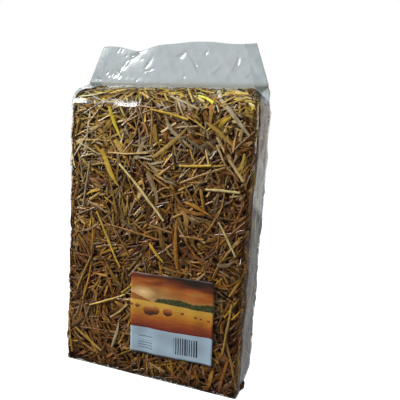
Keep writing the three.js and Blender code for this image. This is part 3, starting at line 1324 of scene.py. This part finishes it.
@dataclass
class StrawMass:
    """All the straw: the pressed middle, the small straws on each side, and the large ones."""

    shape: SlabShape
    core_depth: float = 9.5 * MM
    core_cuts: int = 39
    core_roughness: float = 0.006
    sight_depth: float = 8.5 * MM
    seed: int = 5

    # How lengths and widths are spread between the least and the most, how far past a side straws
    # are drawn, over its size, before they are moved inside, and how much sooner long ones are laid.
    LENGTH_SPREAD = (1.2, 2.2)
    WIDTH_SPREAD = (1.3, 1.9)
    OVERSHOOT = 0.03
    LONG_FIRST = 0.35

    # The longest that a straw is, over the side, the thinnest, and the share that lie in the drift.
    LONGEST = 0.8
    THINNEST = 0.35 * MM
    DRIFTING = 0.5

    COUNTS = {
        Side.FRONT: 11500,
        Side.BACK: 8800,
        Side.LEFT: 3300,
        Side.RIGHT: 3300,
        Side.FOOT: 1300,
    }
    FINISHES = {
        StrawKind.PRESSED_STEM: StrawFinish("stem_straw", 0.28, 0.8, 0.55),
        StrawKind.SPLIT_STEM: StrawFinish("split_straw", 0.4, 0.9, 0.3),
        StrawKind.LEAF_SCRAP: StrawFinish("leaf_straw", 0.5, 1.0, 0.2),
        StrawKind.SPLINTER: StrawFinish("splinter_straw", 0.6, 0.6, 0.2),
        StrawKind.CHAFF: StrawFinish("chaff_straw", 0.65, 0.5, 0.15),
    }

    def build(self) -> None:
        """Builds every straw piece."""
        finishes = {kind: finish.material() for kind, finish in self.FINISHES.items()}
        self.core()
        patterns = StrawBench.patterns()
        large = LargeStraws()
        draw = np.random.default_rng(self.seed)
        for side, wall in walls(self.shape).items():
            pile = Pile(wall, self.sight_depth)
            large.build(pile, finishes)
            loose = self.scatter(wall, pile, self.COUNTS[side], draw)
            for kind, straws in loose.items():
                batches = self.by_pattern(patterns[kind], straws, wall, draw)
                piece = joined(f"{side.value}_{kind.value}", batches)
                settle(piece, finishes[kind], "straw", "straw_block")

    @staticmethod
    def by_pattern(
        patterns: list[Prototype], straws: Straws, wall: Wall, draw: Random
    ) -> list[StrawBatch]:
        """Shares the straws of one kind among its patterns.

        Args:
            patterns: The patterns of the kind.
            straws: The straws of the kind.
            wall: The wall that they lie on.
            draw: The random generator.

        Returns:
            A batch for each pattern in use.
        """
        choice = draw.integers(0, len(patterns), len(straws.across))
        batches = []
        for index, pattern in enumerate(patterns):
            rows = np.flatnonzero(choice == index)
            if len(rows):
                batches.append(straw_mesh(pattern, straws.chosen(rows), wall))
        return batches

    def core(self) -> None:
        """The pressed middle, which closes the gaps between the straws in sight."""
        deselect_all()
        depth = self.core_depth
        shape = self.shape
        half = np.array((shape.half_width, shape.half_depth)) - depth
        height = shape.crest - 3 * depth
        size = (2 * half[0], 2 * half[1], height)
        bpy.ops.mesh.primitive_cube_add(size=1, location=(0, 0, depth + height / 2), scale=size)
        core = named("pressed_middle")
        bpy.ops.object.transform_apply(location=True, rotation=True, scale=True)
        edit_all()
        bpy.ops.mesh.subdivide(number_cuts=self.core_cuts)
        bpy.ops.object.mode_set(mode="OBJECT")
        points = read_points(core)
        inward = np.interp(points[:, 2] + depth, shape.path_height, shape.path_inward)
        points[:, 0] *= 1 - shape.tuck * inward / half[0]
        points[:, 1] *= 1 - np.minimum(inward, half[1] - 2 * MM) / half[1]
        bumps = waves(points[:, 0] + points[:, 1], points[:, 2], (0.021, 0.013, 0.009), 21)
        centre = np.array((0, 0, shape.eaves / 2))
        rough = self.core_roughness
        points = centre + (points - centre) * (1 - rough + rough * bumps[:, None])
        write_points(core, points)
        bpy.ops.object.shade_smooth()
        settle(core, CoreFinish().material(), "straw", "straw_block")

    def scatter(self, wall: Wall, pile: Pile, count: int, draw: Random) -> dict[StrawKind, Straws]:
        """Draws and lays the small straws of one side.

        Args:
            wall: The side.
            pile: What lies on it already.
            count: How many straws are drawn.
            draw: The random generator.

        Returns:
            The straws in sight, by kind.
        """
        kinds = list(STRAW_SIZES)
        shares = np.array([STRAW_SIZES[kind].share for kind in kinds])
        kind_of = draw.choice(len(kinds), count, p=shares / shares.sum())
        long = draw.beta(*self.LENGTH_SPREAD, count)
        wide = draw.beta(*self.WIDTH_SPREAD, count)
        rows: dict[StrawKind, list] = {kind: [] for kind in kinds}
        spots = draw.uniform(-self.OVERSHOOT, 1 + self.OVERSHOOT, size=(count, 2))
        swirl = draw.normal(size=(count, 5))
        lean = draw.uniform(size=count)
        for index in np.argsort(draw.uniform(size=count) - self.LONG_FIRST * long):
            kind = kinds[kind_of[index]]
            sizes = STRAW_SIZES[kind]
            length = sizes.length[0] * (sizes.length[1] / sizes.length[0]) ** long[index]
            width = sizes.width[0] * (sizes.width[1] / sizes.width[0]) ** wide[index] * MM
            length = min(length * MM, self.LONGEST * min(wall.width, wall.height))
            across = (spots[index, 0] - 0.5) * wall.width
            up = spots[index, 1] * wall.height
            if lean[index] < self.DRIFTING:
                turn = self.drift(across, up) + 0.5 * swirl[index, 0]
            else:
                turn = lean[index] * 4 * math.pi
            across, up = self.kept_inside(wall, across, up, turn, length, width)
            thickness = max(self.THINNEST, width * sizes.flatness)
            depth = pile.lay(across, up, turn, length, width, thickness, sizes.stiffness)
            if depth is None:
                continue
            sag = sizes.bend * length * swirl[index, 1]
            roll = sizes.roll * swirl[index, 2]
            twist = 0.5 * sizes.roll * swirl[index, 3]
            rows[kind].append((across, up, turn, length, width, thickness, roll, twist, sag, depth))
        return {kind: self.batch(found, wall, draw) for kind, found in rows.items()}

    @staticmethod
    def drift(across: float, up: float) -> float:
        """The way that neighbouring straws tend to lie, which turns slowly over the side."""
        weave = math.sin(across / 0.037 + 1.3 * math.sin(up / 0.045))
        return 1.6 * weave + 1.2 * math.cos(up / 0.061 + 0.7)

    @staticmethod
    def kept_inside(
        wall: Wall, across: float, up: float, turn: float, length: float, width: float
    ) -> tuple[float, float]:
        """Moves a straw's middle so that its ends stay on its side.

        Args:
            wall: The side.
            across: Where the middle is along it.
            up: Where the middle is up it.
            turn: The way the straw points.
            length: Its length.
            width: Its width.

        Returns:
            The new place of the middle, across and up.
        """
        margin = 0.2 * MM + 0.4 * width
        reach = abs(math.cos(turn)) * length / 2 + margin
        rise = abs(math.sin(turn)) * length / 2 + margin
        across = min(max(across, -wall.width / 2 + reach), wall.width / 2 - reach)
        return across, min(max(up, rise), wall.height - rise)

    @staticmethod
    def batch(found: list[tuple], wall: Wall, draw: Random) -> Straws:
        """Gathers laid straws into arrays and gives each its tint.

        Args:
            found: A row of values for each laid straw.
            wall: The wall that they lie on.
            draw: The random generator.

        Returns:
            The straws.
        """
        columns = [np.array(column) for column in zip(*found)]
        across, up = columns[0], columns[1]
        middle = wall.place(across, up, np.zeros(len(across)))
        return Straws(*columns, tints(middle, draw))


# How much commoner each tint gets where the straw is greyer, warmer, lower and further right.
TINT_DRIFTS = np.array(
    [
        (0.0, 0.0, 0.0, 0.0),
        (0.9, 0.0, -0.8, 0.0),
        (0.0, 0.7, 0.7, 0.0),
        (-0.4, 0.5, 0.0, 0.0),
        (0.4, 0.0, 0.0, 0.0),
        (0.0, 0.9, 0.5, 3.0),
        (0.0, 0.0, 0.0, 0.0),
        (0.0, 0.0, 0.0, 0.0),
    ]
)

# Painted shade and painted light on the tints: darker and redder low down and to the right,
# lighter high up, between two heights, reaching lower on the left by a slant; lightest and bluest
# on top, as painted light and a painted sheen of the film; darker at the foot, as painted shade.
LOW_PAINTED_SHADE = np.array((0.76, 0.63, 0.58))
HIGH_PAINTED_LIGHT, HIGH_PAINTED_LIGHT_HEIGHTS, HIGH_PAINTED_LIGHT_SLANT = np.array((0.98, 1.02, 1.10)), (0.08, 0.34), 0.4
# Painted light and a painted sheen of the film on the top straw: lighter and bluer.
TOP_PAINTED_LIGHT, TOP_HEIGHTS = np.array((1.35, 1.55, 1.9)), (0.325, 0.362)
# Painted shade at the foot: the share the straw darkens to at the floor, and the heights between.
PAINTED_FOOT_SHADE, PAINTED_FOOT_SHADE_HEIGHTS = 0.5, (1 * MM, 17 * MM)
TINT_SPREAD, BRIGHTEST = 0.34, 0.26


def tints(places: Array, draw: Random) -> Array:
    """Each straw's colour: a common tint, shifted by place in the slab, with painted shade and light.

    Args:
        places: The middles of the straws, one row each.
        draw: The random generator.

    Returns:
        The colours, one row each.
    """
    x, y, z = places.T
    count = len(places)
    grey = waves(x + y, z, (0.12, 0.07), 31)
    warm = waves(x - y, z, (0.15, 0.09), 32)
    low = 1 - np.clip(z / 0.34, 0, 1)
    shares = TINT_SHARES * np.exp(np.stack([grey, warm, low, x], axis=1) @ TINT_DRIFTS.T)
    shares /= shares.sum(axis=1, keepdims=True)
    choice = (draw.uniform(size=(count, 1)) > np.cumsum(shares, axis=1)).sum(axis=1)
    other = draw.choice(len(TINTS), count, p=TINT_SHARES)
    share = draw.uniform(0, 0.45, (count, 1))
    colour = TINTS[np.minimum(choice, len(TINTS) - 1)] * (1 - share) + TINTS[other] * share
    # Painted shade: darker near the foot.
    painted_foot_shade = PAINTED_FOOT_SHADE + (1 - PAINTED_FOOT_SHADE) * smooth_step(*PAINTED_FOOT_SHADE_HEIGHTS, z)[:, None]
    # Painted shade and light: darker low and to the right, lighter high up and on the left.
    painted_light = smooth_step(*HIGH_PAINTED_LIGHT_HEIGHTS, z - HIGH_PAINTED_LIGHT_SLANT * (x + 0.1))[:, None]
    colour *= LOW_PAINTED_SHADE * (1 - painted_light) + HIGH_PAINTED_LIGHT * painted_light
    # Painted light and a painted film sheen on the top straw.
    colour *= 1 + (TOP_PAINTED_LIGHT - 1) * smooth_step(*TOP_HEIGHTS, z)[:, None]
    weathered = np.exp(np.minimum(draw.normal(0, TINT_SPREAD, (count, 1)), BRIGHTEST))
    return np.clip(painted_foot_shade * colour * weathered, 0.01, 0.85)


class LargeStraws:
    """The stems and leaf blades that are large enough to be told apart, one piece each."""

    STEM_TINTS = (4, 3, 5, 4, 3, 1, 0, 3, 0, 4, 0, 3)
    BLADE_TINTS = (3, 0, 5, 7, 3, 0, 1, 5)

    def __init__(self) -> None:
        """Models the patterns of the large straws."""
        stem = StrawBench.drawn_out(
            10, (0.9, 0.94, 0.95, 0.96, 0.98, 1.16, 1.0, 0.96, 0.94, 0.9, 0.86), 0.62, True
        )
        blade = StrawBench.drawn_out(
            8, (0.62, 0.82, 0.95, 1.0, 0.98, 0.92, 0.8, 0.62, 0.38, 0.06), 0.14, False
        )
        self.patterns = {"stem": Prototype.from_object(stem), "leaf_blade": Prototype.from_object(blade)}

    def build(self, pile: Pile, finishes: dict[StrawKind, bpy.types.Material]) -> None:
        """Lays the large straws of one wall, where the CAD has them.

        Args:
            pile: What lies on the wall already.
            finishes: The finish of each kind.
        """
        for node in sorted(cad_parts):
            if node.startswith(("stem_", "leaf_blade_")) and f"_{pile.wall.side.value}_" in node:
                self.lay(node, pile, finishes)

    def lay(self, node: str, pile: Pile, finishes: dict[StrawKind, bpy.types.Material]) -> None:
        """Builds one large straw in the place of its node.

        Args:
            node: The name of its node.
            pile: What lies on the wall already.
            finishes: The finish of each kind.
        """
        kind = "stem" if node.startswith("stem_") else "leaf_blade"
        flat = pile.wall.flattened(read_points(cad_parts[node]))
        middle = (flat.min(axis=0) + flat.max(axis=0)) / 2
        main = np.linalg.svd(flat - flat.mean(axis=0), full_matrices=False)[2]
        spread = (flat - middle) @ main.T
        length, width = np.ptp(spread, axis=0)
        turn = math.atan2(main[0, 1], main[0, 0])
        if kind == "leaf_blade" and abs(spread[:, 0].max()) < abs(spread[:, 0].min()):
            turn += math.pi
        thickness = width * 0.62 if kind == "stem" else 0.9 * MM
        depth = pile.lay(middle[0], middle[1], turn, length, width, thickness, 0.8)
        number = int(node.rsplit("_", 1)[1])
        tints_for_kind = self.STEM_TINTS if kind == "stem" else self.BLADE_TINTS
        draw = np.random.default_rng([number, len(node)])
        tint = TINTS[tints_for_kind[(number - 1) % len(tints_for_kind)]] * draw.uniform(0.9, 1.15)
        sag = (0.012 if kind == "stem" else 0.035) * length * draw.choice((-1, 1))
        straw = Straws(
            *(np.array([value]) for value in (middle[0], middle[1], turn, length, width, thickness)),
            roll=np.array([draw.normal(0, 0.12)]),
            twist=np.array([0.0 if kind == "stem" else draw.normal(0, 0.35)]),
            sag=np.array([sag]),
            depth=np.array([np.zeros(Pile.STATIONS) if depth is None else depth]),
            tint=tint[None, :],
        )
        piece = joined(node + "_fine", [straw_mesh(self.patterns[kind], straw, pile.wall)])
        straw_kind = StrawKind.PRESSED_STEM if kind == "stem" else StrawKind.LEAF_SCRAP
        settle(piece, finishes[straw_kind], kind, node)


# ---------------------------------------------------------------- the film bag


@dataclass
class FilmBag:
    """The clear bag: a tube of film with folded ends, drawn flat above the straw into a fin."""

    shape: SlabShape
    mouth: float
    film: float = 0.12 * MM
    cell: float = 4.4 * MM
    slope_row: float = 2.4 * MM
    fin_row: float = 1.15 * MM
    fin_cuts: int = 3
    mouth_narrowing: float = 0.15
    wrinkle: float = 0.2 * MM
    eaves_ripple: float = 0.5 * MM
    deepest_wrinkle: float = 0.7 * MM
    floor_clearance: float = 0.2 * MM
    fin_lean: float = 2.3 * MM
    corner_lean: float = 1.2 * MM
    haze: Array = field(default_factory=lambda: np.zeros(0), init=False)
    gloss: Array = field(default_factory=lambda: np.zeros(0), init=False)

    # Where the film is pulled flat over the eaves: middle across, height, half width and half
    # height in millimetres, the slopes of the flat across and up, and how far its shiny band hangs.
    FLATS = (
        (-104, 337.5, 10, 7.0, 0.063, 0.323, 0.0),
        (-37, 335.5, 17, 7.5, -0.047, 0.302, 6.0),
    )

    # The share of haze that a fold hides, and how shiny the end panels are.
    HIDDEN = 0.92
    END_GLOSS = 0.8

    # The fin's creases: middle across, middle height above the crest, turn in degrees,
    # half length, half width and height, in millimetres.
    CREASES = (
        (-62, 30, 30, 11, 3.4, 1.0),
        (-75.5, 19, 62, 7, 1.5, 0.50),
        (-72, 17, 48, 7, 1.4, 0.45),
        (-79.5, 9, 76, 7, 1.7, 0.55),
        (-82.5, 13, -48, 6, 1.3, 0.45),
        (-95.5, 11, 78, 5, 1.6, 0.55),
        (-92, 6, 66, 5, 1.3, 0.45),
        (-87, 9, 100, 6, 1.3, 0.45),
        (-84, 6, 66, 5, 1.2, 0.42),
        (-75, 6, 98, 4, 1.3, 0.42),
        (-38.5, 21, 52, 9, 2.2, 0.75),
        (-40.5, 13, 20, 2, 1.6, 0.50),
        (-33, 15, 19, 7, 1.2, 0.34),
        (-57, 38, 78, 4, 1.8, 0.60),
        (-47, 39, 50, 5, 1.6, 0.55),
        (-67, 33, 5, 4, 1.6, 0.55),
        (-76, 32, 30, 2, 1.5, 0.50),
        (-50, 28, 60, 2, 1.5, 0.50),
        (-91, 38, 62, 5, 1.3, 0.40),
        (-85, 38, 74, 5, 1.3, 0.40),
        (-104, 3, 2, 3.5, 0.9, 0.3),
        (-51, 2, 40, 3, 1.6, 0.50),
        (30, 22, 118, 14, 2.2, 0.75),
        (58, 12, 34, 9, 2.0, 0.66),
        (84, 20, 58, 12, 2.0, 0.68),
        (8, 31, 24, 8, 2.4, 0.75),
        (98, 8, 40, 6, 1.6, 0.50),
        (14, 6, 70, 5, 1.4, 0.45),
        (44, 34, 40, 5, 1.6, 0.50),
        (72, 5, 80, 5, 1.4, 0.45),
    )

    def build(self) -> None:
        """Builds the bag and gives it its film finish."""
        bag = self.tube()
        write_points(bag, self.folded(read_points(bag)))
        store(bag, "haze", "FLOAT", self.haze)
        store(bag, "gloss", "FLOAT", self.gloss)
        bpy.ops.object.shade_smooth()
        thicken(bag, self.film, 0)
        settle(bag, FilmFinish().material(), "film", "film_bag")

    def tube(self) -> Piece:
        """A straight open tube of film with a bottom, as long as the film is tall.

        Returns:
            The tube.
        """
        shape = self.shape
        deselect_all()
        bpy.ops.mesh.primitive_cube_add(
            size=1,
            location=(0, 0, shape.bend_start / 2),
            scale=(2 * shape.half_width, 2 * shape.half_depth, shape.bend_start),
        )
        bag = named("clear_bag")
        bpy.ops.object.transform_apply(location=True, rotation=True, scale=True)
        bpy.ops.object.mode_set(mode="EDIT")
        pick(bag, "faces", lambda face: face.normal.z > 0.9)
        bpy.ops.mesh.delete(type="FACE")
        for axis, reach in ((0, 2 * shape.half_width), (1, 2 * shape.half_depth), (2, shape.bend_start)):
            cuts = int(reach / self.cell)
            cuts += 1 - cuts % 2
            pick(bag, "edges", lambda edge, axis=axis: self.runs_along(edge, axis))
            bpy.ops.mesh.subdivide(number_cuts=cuts)
        slope = (shape.slope_length, self.slope_row, 0)
        fin = (self.mouth - shape.crest, self.fin_row, self.fin_cuts)
        for reach, row, cuts in (slope, fin):
            rows = math.ceil(reach / row)
            if cuts:
                pick(bag, "edges", lambda edge: edge.is_boundary)
                bpy.ops.mesh.subdivide(number_cuts=cuts)
            for _ in range(rows):
                pick(bag, "edges", lambda edge: edge.is_boundary)
                bpy.ops.mesh.extrude_edges_move(TRANSFORM_OT_translate={"value": (0, 0, reach / rows)})
        bpy.ops.mesh.select_all(action="SELECT")
        bpy.ops.mesh.normals_make_consistent(inside=False)
        bpy.ops.object.mode_set(mode="OBJECT")
        return bag

    @staticmethod
    def runs_along(edge: bmesh.types.BMEdge, axis: int) -> bool:
        """Whether an edge runs along one of the three axes."""
        run = edge.verts[1].co - edge.verts[0].co
        return abs(run[axis]) > 0.99 * run.length

    def folded(self, points: Array) -> Array:
        """Folds the straight tube over the straw: eaves, gusset ends, crest and fin.

        Args:
            points: The points of the straight tube.

        Returns:
            The points of the folded bag.
        """
        shape = self.shape
        x, y, sheet = points.T
        above = np.maximum(sheet - shape.bend_start - shape.slope_length, 0)
        inward, z, _ = shape.profile(sheet)
        left = np.maximum(shape.half_depth - inward, shape.ply_gap)
        end_panel = np.abs(x) > shape.half_width - 1e-6
        edge_away = shape.half_depth - np.abs(y)
        tucked = end_panel & (edge_away < inward)
        under = 0.55 * shape.ply_gap * np.clip(edge_away / (3 * MM), 0, 1) * tucked
        new_y = np.sign(y) * (np.minimum(np.abs(y), left) - under)
        tucked_x = np.sign(x) * (np.abs(x) - shape.tuck * np.minimum(edge_away, inward))
        new_x = np.where(end_panel, tucked_x, x)
        lower = sheet < shape.bend_start + shape.slope_length
        radius = shape.upright_rounding * (1 - smooth_step(shape.eaves, shape.crest - 6 * MM, z))
        radius = np.minimum(np.maximum(radius, 1e-5), 0.9 * left)
        far_x = shape.half_width - shape.tuck * inward
        round_x, round_y = shape.round_edge(new_x, new_y, far_x, left, radius)
        new_x, new_y = np.where(lower, round_x, new_x), np.where(lower, round_y, new_y)
        rounded = shape.foot_rounded(new_x, new_y, z)
        on_end = end_panel * (above == 0) * (rounded[:, 2] < shape.eaves)
        bent = self.wrinkled(shape.bulged(rounded))
        hidden = self.HIDDEN * (end_panel & (edge_away > 1.5 * MM))
        self.haze = self.fogged(x, bent[:, 2], above, hidden)
        self.gloss = np.maximum(self.gloss, self.END_GLOSS * on_end)
        return self.finned(bent, above)

    def fogged(self, x: Array, z: Array, above: Array, hidden: Array) -> Array:
        """How hazy the film is: most where it is bunched at the crest, the corners and the foot.

        Args:
            x: Where the points are across the unfolded film.
            z: How high they are.
            above: How far up the fin they are.
            hidden: How much of the haze each loses, because it lies in a fold.

        Returns:
            The haze: 0 for clear, 1 for hazy and 2 for bunched film.
        """
        shape = self.shape
        top = smooth_step(shape.crest - 12 * MM, shape.crest - 1 * MM, z) * (1 - hidden)
        corner = smooth_step(shape.half_width - 16 * MM, shape.half_width - 5 * MM, np.abs(x))
        corner *= smooth_step(shape.eaves - 14 * MM, shape.eaves, z)
        corner *= 1 - smooth_step(shape.crest - 6 * MM, shape.crest, z)
        foot = 2 - 2 * smooth_step(1.5 * MM, 5 * MM, z)
        over = (z + above - shape.crest + 4.5 * MM) / (4 * MM)
        bunched = 0.8 * np.exp(-(over**2)) * (1 - hidden)
        return np.maximum(np.maximum(top, corner), foot) + bunched

    def wrinkled(self, points: Array) -> Array:
        """Pulls the film into shallow wrinkles, most along the eaves, none under the label.

        Args:
            points: The points of the folded film.

        Returns:
            The moved points.
        """
        shape = self.shape
        x, y, z = points.T
        low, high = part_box("label")
        flat = (x > low.x) & (x < high.x) & (z > low.z) & (z < high.z) & (y < 0)
        eaves = np.exp(-(((z - shape.eaves + 15 * MM) / (12 * MM)) ** 2))
        moved, taut = self.pulled_flat(points)
        fine = waves(x + y, z, (0.024, 0.017, 0.012), 41)
        ripple = waves(x + 0.4 * y, z * 0.5, (0.019, 0.0145, 0.0115), 42)
        height = (self.wrinkle * fine + self.eaves_ripple * eaves * ripple) * (1 - 0.85 * taut)
        height = np.maximum(height * smooth_step(0, 0.02, z), -self.deepest_wrinkle)
        height = np.where(flat, 0, height)
        height = height * (1 - smooth_step(shape.crest - 10 * MM, shape.crest, z))
        moved[:, 1] += height * np.clip(y / shape.half_depth, -1, 1)
        moved[:, 0] += height * np.clip(x / shape.half_width, -1, 1) ** 5
        moved[:, 2] += height * smooth_step(shape.eaves - 12 * MM, shape.eaves, z)
        moved[:, 2] = np.maximum(moved[:, 2], self.floor_clearance)
        return moved

    def pulled_flat(self, points: Array) -> tuple[Array, Array]:
        """Pulls the film flat in a few places over the eaves, where it shines most.

        Args:
            points: The film's points.

        Returns:
            The moved points, and how taut the film is at each.
        """
        moved = points.copy()
        x, y, z = points.T
        taut = np.zeros(len(points))
        self.gloss = np.zeros(len(points))
        for across, height, half_width, half_height, slope_x, slope_z, hang in self.FLATS:
            run, rise = x - across * MM, z - height * MM
            middle = y[np.argmin(run**2 + rise**2 + (y > 0))] - 0.9 * MM
            plane = middle + slope_x * run + slope_z * rise
            side = (run / (half_width * MM)) ** 2
            share = np.exp(-(side**3) - (rise / (half_height * MM)) ** 4) * (y < 0)
            moved[:, 1] += share * (plane - y)
            taut = np.maximum(taut, share)
            band = rise - hang * MM * (side - 0.5)
            thick = (half_height - 0.55 * hang) * MM
            shine = np.exp(-(side**3) - (band / thick) ** 4) * (y < 0)
            self.gloss = np.maximum(self.gloss, shine)
        return moved, taut

    def finned(self, points: Array, above: Array) -> Array:
        """Shapes the fin: a wavy mouth, drawn-in ends, folds and creases.

        Args:
            points: The points of the folded film.
            above: How far up the fin each is.

        Returns:
            The moved points.
        """
        shape = self.shape
        moved = points.copy()
        x = points[:, 0]
        tall = self.mouth - shape.crest
        share = above / tall
        dip = np.exp(-(((x + 0.058) / 0.022) ** 2)) + 0.75 * smooth_step(-0.02, -0.09, x)
        edge = -5.5 * MM * dip + 1.6 * MM * np.sin(x / 0.021) - 2.5 * MM
        height = above * (1 + edge / tall)
        sway = (0.9 * np.sin(x / 0.0125 + 0.6) + 0.3 * np.sin(x / 0.0066 + 2.0)) * MM
        lean = self.corner_lean * (np.abs(x) / shape.half_width) ** 3 * share**2 + self.fin_lean * share
        y = sway * share + lean
        for across, up, turn, half_length, half_width, fold in self.CREASES:
            cos, sin = math.cos(math.radians(turn)), math.sin(math.radians(turn))
            run, rise = x - across * MM, height - up * MM
            along = (run * cos + rise * sin) / (half_length * MM)
            aside = (rise * cos - run * sin) / (half_width * MM)
            aside = aside - 0.6 * along**2
            ridge = np.exp(-(along**2) - np.abs(aside) ** 1.2) * (above > 0)
            y += (fold + 0.13 * half_length * sin * along) * MM * ridge
            self.gloss = np.maximum(self.gloss, np.clip(1.8 * ridge, 0, 1))
            # Painted shade: a hazier, darker line beside each crease.
            self.haze += 0.35 * np.exp(-(along**2) - (2.5 * (aside - 1.2)) ** 2) * (above > 0)
        self.haze += 0.07 * waves(x + height, x - height, (0.06, 0.034, 0.021), 44) * (above > 0)
        crest = np.exp(-(((points[:, 2] + above - shape.crest) / (6 * MM)) ** 2))
        y += crest * 0.4 * MM * waves(x, height, (0.02, 0.013), 43)
        moved[:, 0] = x * (1 - self.mouth_narrowing * share)
        moved[:, 1] += y
        moved[:, 2] += height
        return moved


# ---------------------------------------------------------------- the label


@dataclass
class Label:
    """The paper label, glued to the front of the bag and following its surface."""

    shape: SlabShape
    width: float = 106 * MM
    height: float = 102 * MM
    tilt: float = 1.7
    stand: float = 0.45 * MM
    paper: float = 0.22 * MM

    def build(self) -> None:
        """Builds the label."""
        low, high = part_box("label")
        centre = (low + high) / 2
        deselect_all()
        bpy.ops.mesh.primitive_plane_add(size=1, location=(0, 0, 0))
        label = named("paper_label")
        label.data.uv_layers[0].name = ATLAS_MAP
        edit_all()
        bpy.ops.mesh.subdivide(number_cuts=47)
        bpy.ops.object.mode_set(mode="OBJECT")
        u, v, _ = read_points(label).T
        cos, sin = math.cos(math.radians(self.tilt)), math.sin(math.radians(self.tilt))
        right, up = u * self.width, v * self.height
        x = centre.x + right * cos - up * sin
        z = centre.z + right * sin + up * cos
        flat = np.stack([x, np.full_like(x, -self.shape.half_depth), z], axis=1)
        bent = self.shape.bulged(flat)
        corner = np.clip(np.abs(u) * 2, 0, 1) ** 6 * np.clip(np.abs(v) * 2, 0, 1) ** 6
        bent[:, 1] -= self.stand + 0.7 * MM * corner + 0.12 * MM * waves(x, z, (0.03, 0.019), 51)
        write_points(label, bent)
        bpy.ops.object.shade_smooth()
        thicken(label, self.paper, 0)
        settle(label, LabelFinish().material(), "label", "label")


# ---------------------------------------------------------------- the studio


@dataclass
class Studio:
    """A pale floor, soft lights and the camera."""

    camera_place: Vec = (0.1934, -0.4763, 0.2946)
    yaw: float = 17.4
    pitch: float = 7.85
    roll: float = 3.55
    lens: float = 36.35

    # The lamps: name, place, what it points at, size and power.
    LAMPS = (
        ("key", (-1.2, -0.62, 0.85), (0.0, 0.0, 0.2), 0.5, 21.5),
        ("window", (-0.42, -0.50, 0.72), (0.0, 0.0, 0.2), 0.24, 3.0),
        ("overhead", (0.1, -0.05, 1.35), (0.0, 0.0, 0.3), 0.9, 3.0),
        ("fill_back", (-0.75, 0.9, 0.6), (0.0, 0.0, 0.2), 0.6, 5.0),
        ("card", (0.45, 1.5, 0.35), (0.1, 0.0, 0.2), 0.9, 0.75),
        ("fill_right", (1.0, -0.15, 0.55), (0.1, 0.0, 0.2), 0.6, 4.0),
    )

    def build(self) -> None:
        """Builds the studio."""
        self.floor()
        self.sky()
        for row in self.LAMPS:
            self.lamp(*row)
        self.camera()

    def camera(self) -> None:
        """Places the camera a little above and to the right, looking down and tipped."""
        yaw, pitch, roll = (math.radians(angle) for angle in (self.yaw, self.pitch, self.roll))
        level = Vector((math.cos(yaw), math.sin(yaw), 0))
        forward = Vector((-math.sin(yaw), math.cos(yaw), 0))
        ahead = math.cos(pitch) * forward - math.sin(pitch) * Vector((0, 0, 1))
        above = level.cross(ahead)
        right = math.cos(roll) * level + math.sin(roll) * above
        up = math.cos(roll) * above - math.sin(roll) * level
        data = bpy.data.cameras.new("camera")
        data.lens = self.lens
        data.sensor_width = 36
        data.clip_start = 0.01
        camera = bpy.data.objects.new("camera", data)
        turned = Matrix((right, up, -ahead)).transposed().to_4x4()
        camera.matrix_world = Matrix.Translation(self.camera_place) @ turned
        bpy.context.scene.collection.objects.link(camera)
        bpy.context.scene.camera = camera

    @staticmethod
    def lamp(name: str, place: Vec, aim: Vec, size: float, power: float) -> None:
        """Hangs a square soft light and points it.

        Args:
            name: Its name.
            place: Where it hangs.
            aim: What it points at.
            size: The side of its square.
            power: Its power in watts.
        """
        data = bpy.data.lights.new(name, "AREA")
        data.shape = "SQUARE"
        data.size = size
        data.energy = power
        lamp = bpy.data.objects.new(name, data)
        lamp.location = place
        lamp.visible_camera = False
        lamp.rotation_euler = (Vector(aim) - Vector(place)).to_track_quat("-Z", "Y").to_euler()
        bpy.context.scene.collection.objects.link(lamp)

    @staticmethod
    def floor() -> None:
        """A wide pale floor."""
        deselect_all()
        bpy.ops.mesh.primitive_plane_add(size=30, location=(0, 0, -0.05 * MM))
        floor = named("floor")
        make = Shader("pale_floor")
        path = make.node("LightPath").outputs
        seen = make.node("BsdfDiffuse", {"Color": rgba((0.85, 0.85, 0.85))})
        glow = make.node("Emission", {"Color": rgba((1, 1, 1)), "Strength": 0.94})
        pale = make.node("AddShader", {0: seen.outputs[0], 1: glow.outputs[0]})
        dim = make.node("BsdfDiffuse", {"Color": rgba((0.12, 0.12, 0.12))})
        even = make.node("Emission", {"Color": rgba((0.92, 1.0, 1.03)), "Strength": 0.29})
        shares = {0: path["Is Glossy Ray"], 1: dim.outputs[0], 2: even.outputs[0]}
        unseen = make.node("MixShader", shares)
        shares = {0: path["Is Camera Ray"], 1: unseen.outputs[0], 2: pale.outputs[0]}
        floor.data.materials.append(make.finish(make.node("MixShader", shares).outputs[0]))

    @staticmethod
    def sky() -> None:
        """Even pale surroundings."""
        world = bpy.data.worlds.new("surroundings")
        world.use_nodes = True
        nodes, links = world.node_tree.nodes, world.node_tree.links
        background = nodes["Background"]
        path = nodes.new("ShaderNodeLightPath")
        strength = nodes.new("ShaderNodeMapRange")
        strength.inputs["To Min"].default_value = 0.12
        strength.inputs["To Max"].default_value = 1.0
        links.new(path.outputs["Is Camera Ray"], strength.inputs["Value"])
        links.new(strength.outputs[0], background.inputs["Strength"])
        background.inputs["Color"].default_value = (1, 1, 1, 1)
        bpy.context.scene.world = world


def main() -> None:
    """Builds the bundle and its studio."""
    logging.basicConfig(level=logging.INFO, format="%(name)s %(message)s")
    bpy.context.scene.view_settings.view_transform = "Standard"
    bpy.context.scene.cycles.transparent_max_bounces = 24
    shape = SlabShape.from_frame()
    Studio().build()
    StrawMass(shape).build()
    FilmBag(shape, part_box("film_bag")[1].z).build()
    Label(shape).build()
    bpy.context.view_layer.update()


if __name__ == "__main__":
    main()
